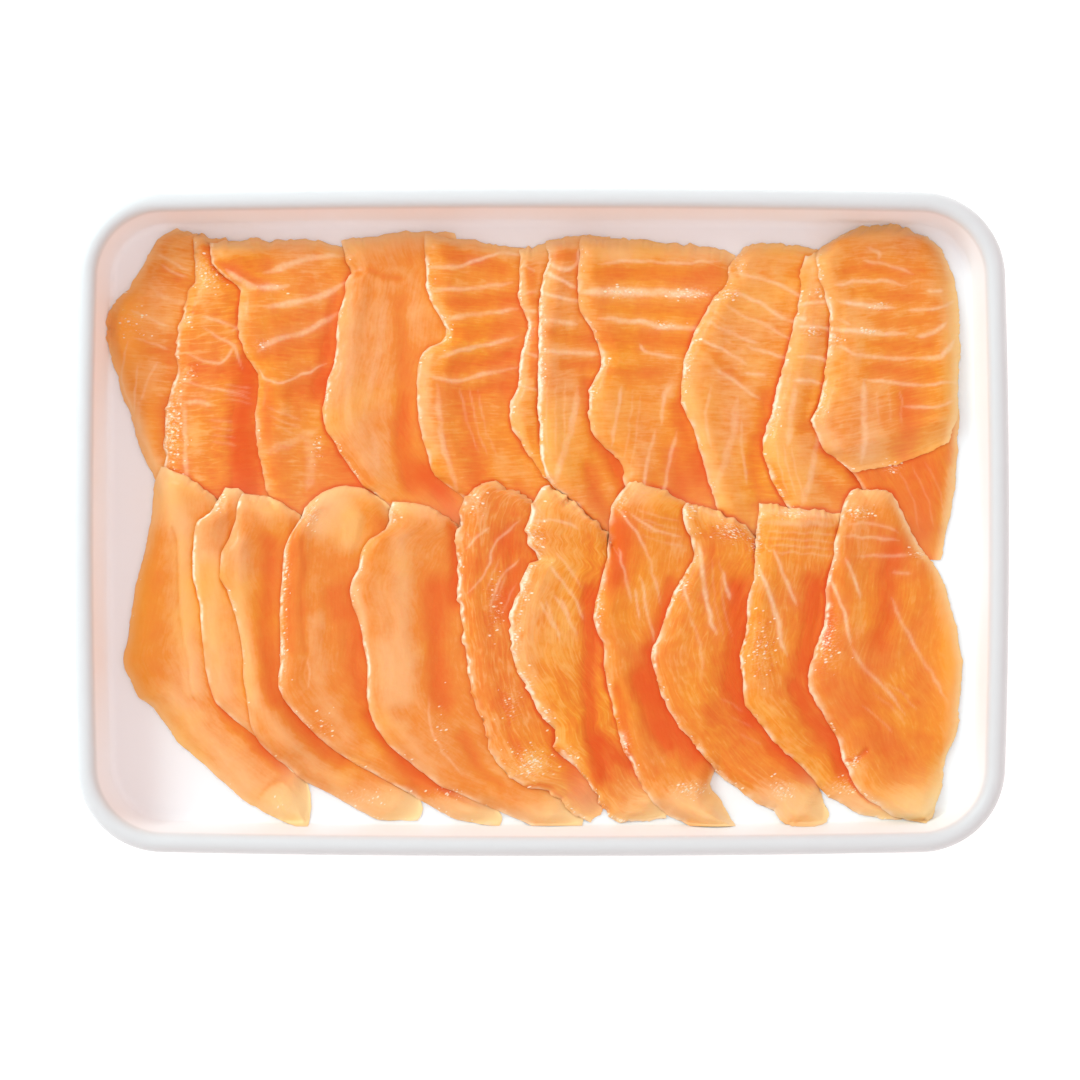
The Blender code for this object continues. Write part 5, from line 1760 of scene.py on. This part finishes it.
    def _strokes_sum(self, strokes: tuple) -> Array:
        """Sum of soft strokes.

        Args:
            strokes: the strokes.

        Returns:
            Their sum at each point.
        """
        total = np.zeros_like(self.x)
        swayed = self.swayed(self.band_sway, 35)
        for width, amount, *paths in strokes:
            for path in paths:
                near, gap, _ = self._near_path(path, width, *swayed)
                total[near] += amount * fade(gap, width)
        return total

    @staticmethod
    def _near_path(points: tuple, width: float, x: Array, y: Array) -> tuple[Array, Array, Array]:
        """Which points lie near a stroke, how far from it and at which share of its length.

        Args:
            points: the stroke's path.
            width: its half width.
            x, y: places on the tray.

        Returns:
            A mask of the near points, and their distances and shares.
        """
        path = smooth_path(photo_to_tray(points), 4)
        reach = 3.0 * width + 0.6
        low, high = path.min(axis=0) - reach, path.max(axis=0) + reach
        near = (x > low[0]) & (x < high[0]) & (y > low[1]) & (y < high[1])
        gap, share = nearest_on_path(x[near], y[near], path)
        return near, gap, share

    def _patches_sum(self, spots: tuple) -> Array:
        """Sum of soft oval patches.

        Args:
            spots: the patches.

        Returns:
            Their sum at each point.
        """
        total = np.zeros_like(self.x)
        for *middle, wide, tall, amount in spots:
            (x, y), = photo_to_tray(middle)
            gap_x = (self.x - x) / (wide * PHOTO_PIXEL_MM)
            gap_y = (self.y - y) / (tall * PHOTO_PIXEL_MM)
            total += amount * np.exp(-(gap_x ** 2 + gap_y ** 2))
        return total

    def tone_amount(self, pile: Pile) -> Array:
        """Deep or pale flesh at each point.

        Args:
            pile: the finished pile.

        Returns:
            Below 0 for deeper flesh and above 0 for paler flesh.
        """
        look = self.look
        # painted shade: deeper flesh beside each slice that lies on this one
        (narrow, deep), (spread, faint) = self.crevice, self.shadow
        close = pile.at(self.x, self.y, pile.nearness(self.number, narrow))
        wide = pile.at(self.x, self.y, pile.nearness(self.number, spread))
        uneven = np.clip(0.85 + 0.9 * self.noise(8.0, 51), 0.2, 1.5)
        below_head = 0.4 + 0.6 * np.clip(self.from_head / self.head_reach, 0.0, 1.0)
        shaded = look.shade * below_head * uneven * (deep * close ** 1.5 + faint * wide)
        # painted light: paler flesh along the left cut edge, the head and the lap
        edges = ((self.from_left, self.pale_rim), (self.from_head, self.pale_head),
                 (self.from_right, self.pale_lap))
        pale = sum(amount * fade(gap, reach) for gap, (reach, amount) in edges)
        # painted light and shade: the creases' tone follows their relief, paler where raised, deeper where
        # sunk
        folds = self.fold_tone * (0.3 + look.grain) * self.folds
        painted = self._patches_sum(look.spots) + self.bands + folds
        return look.tone + painted + pale - shaded

    def thin_amount(self) -> Array:
        """Where the slice is so thin that the tray shines through: its tip and its free edges.

        Returns:
            The share at each point.
        """
        # painted light where the tray shines through the thin tip and the free edges
        tip = self.look.tip * fade(self.from_tip, self.thin_tip)
        edges = ((self.from_right, 0.6), (self.from_head, 0.35), (self.from_left, 0.25 * self.look.soft_left))
        return np.max((tip, *(share * fade(gap, self.thin_edge) for gap, share in edges)), axis=0)

    def shine_amount(self) -> Array:
        """Where the left cut edge shines white.

        Returns:
            The share at each point.
        """
        down = PHOTO_MIDDLE[1] - (self.y - VIEW_CENTRE_MM[1]) / PHOTO_PIXEL_MM
        strip = np.zeros_like(self.x)
        for first, last in self.look.shine:
            past = np.abs(down - 0.5 * (first + last)) - 0.5 * (last - first)
            strip += 1.0 / (1.0 + np.exp(past / 2.5))
        broken = np.clip(0.45 + 1.8 * self.run_noise(0.9, 61), 0.0, 1.0)
        return strip * broken * fade(self.from_left - 0.45, 0.38)

    def wet_amount(self) -> Array:
        """Where beads of moisture gather: along the cut edge and on the wet patches.

        Returns:
            The wetness at each point.
        """
        # the wetness places real beads and also painted glints and painted haze in the flesh's colour
        edge = fade(self.from_left - 0.5, 0.6)
        broken = np.clip(self.run_noise(4.0, 41) + 0.1, 0.0, 1.0)
        return np.clip(self.look.rim * edge * broken + self._patches_sum(self.look.wet), 0.0, 1.0)

    def build(self, pile: Pile, material: bpy.types.Material) -> bpy.types.Object:
        """Makes the slice's closed mesh with its painted values.

        Args:
            pile: the finished pile.
            material: the flesh.

        Returns:
            The finished piece.
        """
        mesh = self._closed_mesh()
        mesh.materials.append(material)
        painted = {
            "fat": self.fat,
            "tone": self.tone_amount(pile),
            "wet": self.wet_amount(),
            "thin": self.thin_amount(),
            "shine": self.shine_amount(),
            # painted golden light on the glow patches
            "glow": np.clip(self._patches_sum(self.look.glow), 0.0, 1.0),
            "body": np.clip((self.share - 0.3) / 0.6, 0.0, 1.0),
        }
        for name in ("grain", "crosswise", "golden"):
            painted[name] = np.full_like(self.x, getattr(self.look, name))
        for name, grid in painted.items():
            paint(mesh, name, self._both_sides(grid))
        self._unwrap(mesh)
        piece = add_object(f"{self.node}_flesh", mesh)
        dress(piece, "salmon", self.node)
        return piece

    def _both_sides(self, grid: Array) -> Array:
        """A grid's values for the fine top and then for the coarse underside."""
        return np.concatenate([grid.ravel(), grid[::self.coarse, ::self.coarse].ravel()])

    def _closed_mesh(self) -> bpy.types.Mesh:
        """Fine top, coarse underside and a wall of faces between their edges.

        Returns:
            The closed mesh.
        """
        fine = np.arange(self.x.size).reshape(self.x.shape)
        coarse = fine[::self.coarse, ::self.coarse]
        under = fine.size + np.arange(coarse.size).reshape(coarse.shape)
        x, y = self._both_sides(self.x), self._both_sides(self.y)
        z = np.concatenate([self.top.ravel(), self.base.ravel()[coarse.ravel()]])
        faces = self._quads(fine)[:, ::-1].tolist() + self._quads(under).tolist()
        faces += self._walls(self._rim(fine), self._rim(under))
        mesh = bpy.data.meshes.new(self.node)
        mesh.from_pydata(np.stack([x, y, z], axis=1) * MM, [], faces)
        mesh.update()
        smooth_shading(mesh, 55.0)
        return mesh

    @staticmethod
    def _quads(index: Array) -> Array:
        """Quads of a grid of vertex numbers, facing down where it runs right and near."""
        corners = (index[:-1, :-1], index[1:, :-1], index[1:, 1:], index[:-1, 1:])
        return np.stack(corners, axis=-1).reshape(-1, 4)

    @staticmethod
    def _rim(index: Array) -> list[int]:
        """Vertex numbers round the border of a grid, once round."""
        sides = (index[:-1, 0], index[-1, :-1], index[:0:-1, -1], index[0, :0:-1])
        return [int(number) for side in sides for number in side]

    def _walls(self, upper: list[int], lower: list[int]) -> list[list[int]]:
        """Faces that join the fine upper rim to the coarse lower one.

        Args:
            upper: vertex numbers of the fine rim.
            lower: vertex numbers of the coarse rim.

        Returns:
            The vertex numbers of each face.
        """
        step = self.coarse
        walls = []
        for k, start in enumerate(lower):
            above = [upper[(k * step + n) % len(upper)] for n in range(step + 1)]
            walls.append([start] + above + [lower[(k + 1) % len(lower)]])
        return walls

    def _unwrap(self, mesh: bpy.types.Mesh) -> None:
        """Gives the mesh a map that runs across and along the slice, in millimetres.

        Args:
            mesh: the slice's mesh.
        """
        corners = np.zeros(len(mesh.loops), int)
        mesh.loops.foreach_get("vertex_index", corners)
        offset = 7.0 * (self.seed % 13)
        across = self._both_sides(self.across_mm)[corners] + offset
        along = self._both_sides(self.along_mm)[corners]
        flat = np.stack([across, along], axis=1).astype(np.float32)
        mesh.uv_layers.new(name="slice").data.foreach_set("uv", flat.ravel())


@dataclass
class Platter:
    """Both rows of slices, laid from left to right, the near row over the far one."""

    tray: TraySizes
    finish: FleshFinish
    first_seed: int = 100
    seed_step: int = 50

    def build(self) -> list[bpy.types.Object]:
        """Lays all slices, then builds their meshes.

        Returns:
            The finished slices.
        """
        pile = Pile(self.tray)
        slices = []
        for row_name, looks in (("upper", UPPER_ROW), ("lower", LOWER_ROW)):
            for number, look in enumerate(looks, start=1):
                seed = self.first_seed + self.seed_step * len(slices)
                name = f"{row_name}_slice_{number:02d}"
                piece = SalmonSlice(name, look, self.tray, len(slices) + 1, seed)
                piece.plan()
                piece.drape(pile)
                slices.append(piece)
        material = self.finish.material()
        made = [piece.build(pile, material) for piece in slices]
        LOG.info("laid %d slices, highest point %.1f mm", len(made), max(s.top.max() for s in slices))
        return made


@dataclass
class MoistureBeads:
    """Beads of moisture scattered over the slices where they are wet."""

    finish: MoistureFinish
    density: float = 1200000.0
    radius: float = 0.17 * MM
    smallest: tuple = (0.45, 0.45, 0.25)
    largest: tuple = (1.7, 1.2, 0.6)
    seed: int = 7

    def tree(self) -> GeometryTree:
        """Tree that scatters flattened beads by the painted wetness.

        Returns:
            The tree.
        """
        tree = GeometryTree("moisture beads")
        density = tree.add_input("Beads per square metre", Socket.LENGTH)
        radius = tree.add_input("Bead radius", Socket.LENGTH)
        seed = tree.add_input("Seed", Socket.COUNT)
        finish = tree.add_input("Moisture", Socket.FINISH)
        wet = tree.node("GeometryNodeInputNamedAttribute", {"Name": "wet"}, data_type="FLOAT")
        wetter = tree.node("ShaderNodeMath", {0: wet.outputs["Attribute"], 1: 2.5}, operation="POWER")
        local = tree.node("ShaderNodeMath", {0: wetter.outputs[0], 1: density}, operation="MULTIPLY")
        spots = tree.node("GeometryNodeDistributePointsOnFaces",
                          {"Mesh": tree.entry.outputs[0], "Density": local.outputs[0], "Seed": seed})
        bead = tree.node("GeometryNodeMeshIcoSphere", {"Radius": radius, "Subdivisions": 1})
        draw = tree.node("FunctionNodeRandomValue", {"Seed": seed}, data_type="FLOAT_VECTOR")
        tree.fill(draw, {"Min": self.smallest, "Max": self.largest})
        placed = tree.node("GeometryNodeInstanceOnPoints", {
            "Points": spots.outputs["Points"], "Instance": bead.outputs["Mesh"],
            "Rotation": spots.outputs["Rotation"], "Scale": draw.outputs["Value"]})
        tree.finish(placed.outputs["Instances"], finish)
        return tree

    def build(self, slices: list[bpy.types.Object]) -> bpy.types.Object:
        """Scatters the beads on each slice and joins them into one piece.

        Args:
            slices: the finished slices.

        Returns:
            The piece with all the beads.
        """
        tree = self.tree()
        material = self.finish.material()
        shape = bmesh.new()
        for number, carrier in enumerate(slices):
            values = {"Beads per square metre": self.density, "Bead radius": self.radius,
                      "Seed": self.seed + number, "Moisture": material}
            beads = tree.run(carrier, "beads", values)
            shape.from_mesh(beads)
            bpy.data.meshes.remove(beads)
        mesh = bpy.data.meshes.new("moisture_beads")
        shape.to_mesh(mesh)
        shape.free()
        mesh.materials.append(material)
        mesh.shade_smooth()
        piece = add_object("moisture_beads", mesh)
        dress(piece, "salmon")
        return piece


# ---------------- stage

@dataclass(frozen=True)
class SoftBox:
    """A square soft light that looks at the tray; its place and width are in metres."""

    name: str
    place: tuple
    width: float
    power: float
    tint: tuple

    def build(self) -> None:
        """Adds the light."""
        light = bpy.data.lights.new(self.name, "AREA")
        light.shape = "SQUARE"
        light.size = self.width
        light.energy = self.power
        light.color = self.tint
        lamp = add_object(self.name, light)
        lamp.location = self.place
        lamp.rotation_euler = (-Vector(self.place)).to_track_quat("-Z", "Y").to_euler()


@dataclass
class Studio:
    """Pale floor, soft lights and the camera straight above the tray."""

    finish: StageFinish
    floor_size: float = 6.0
    floor_drop: float = 0.0002
    sky: float = 0.92
    sensor: float = 36.0
    warm: tuple = (0.98, 0.885, 0.87)
    cool: tuple = (0.72, 0.965, 1.0)

    def build(self, tray: TraySizes) -> None:
        """Adds the floor, the lights and the camera.

        Args:
            tray: the tray's sizes.
        """
        self._floor()
        SoftBox("left_box", (-0.76, 0.52, 0.66), 0.40, 7.6, self.cool).build()
        SoftBox("top_box", (0.1, 0.1, 1.35), 1.1, 1.6, self.warm).build()
        self._sky()
        self._camera(tray)
        view = bpy.context.scene.view_settings
        view.view_transform = "Standard"
        view.look = "None"

    def _floor(self) -> None:
        """A wide plain floor just under the tray."""
        shape = bmesh.new()
        bmesh.ops.create_grid(shape, x_segments=1, y_segments=1, size=self.floor_size / 2)
        mesh = bpy.data.meshes.new("floor")
        shape.to_mesh(mesh)
        shape.free()
        mesh.materials.append(self.finish.material())
        floor = add_object("floor", mesh)
        floor.location.z = -self.floor_drop

    def _sky(self) -> None:
        """An even warm light from all round."""
        world = bpy.data.worlds.new("soft sky")
        world.use_nodes = True
        backdrop = world.node_tree.nodes["Background"]
        backdrop.inputs["Color"].default_value = opaque(self.warm)
        backdrop.inputs["Strength"].default_value = self.sky
        bpy.context.scene.world = world

    def _camera(self, tray: TraySizes) -> None:
        """A long lens that looks straight down from above the tray's rim.

        Args:
            tray: the tray's sizes.
        """
        lens = bpy.data.cameras.new("camera")
        lens.sensor_width = self.sensor
        lens.lens = self.sensor * CAMERA_HEIGHT_MM / VIEW_WIDTH_MM
        lens.clip_start = 0.05
        camera = add_object("camera", lens)
        height = (CAMERA_HEIGHT_MM + tray.height) * MM
        camera.location = (VIEW_CENTRE_MM[0] * MM, VIEW_CENTRE_MM[1] * MM, height)
        bpy.context.scene.camera = camera


def main() -> None:
    """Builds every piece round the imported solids."""
    logging.basicConfig(level=logging.INFO, format="%(name)s: %(message)s")
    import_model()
    sizes = TraySizes()
    Studio(StageFinish()).build(sizes)
    LOG.info("made the stage")
    FoamTray(sizes, FoamFinish()).build()
    LOG.info("made the foam tray")
    slices = Platter(sizes, FleshFinish()).build()
    LOG.info("made %d slices", len(slices))
    beads = MoistureBeads(MoistureFinish()).build(slices)
    LOG.info("made the moisture, %d faces", len(beads.data.polygons))


if __name__ == "__main__":
    main()
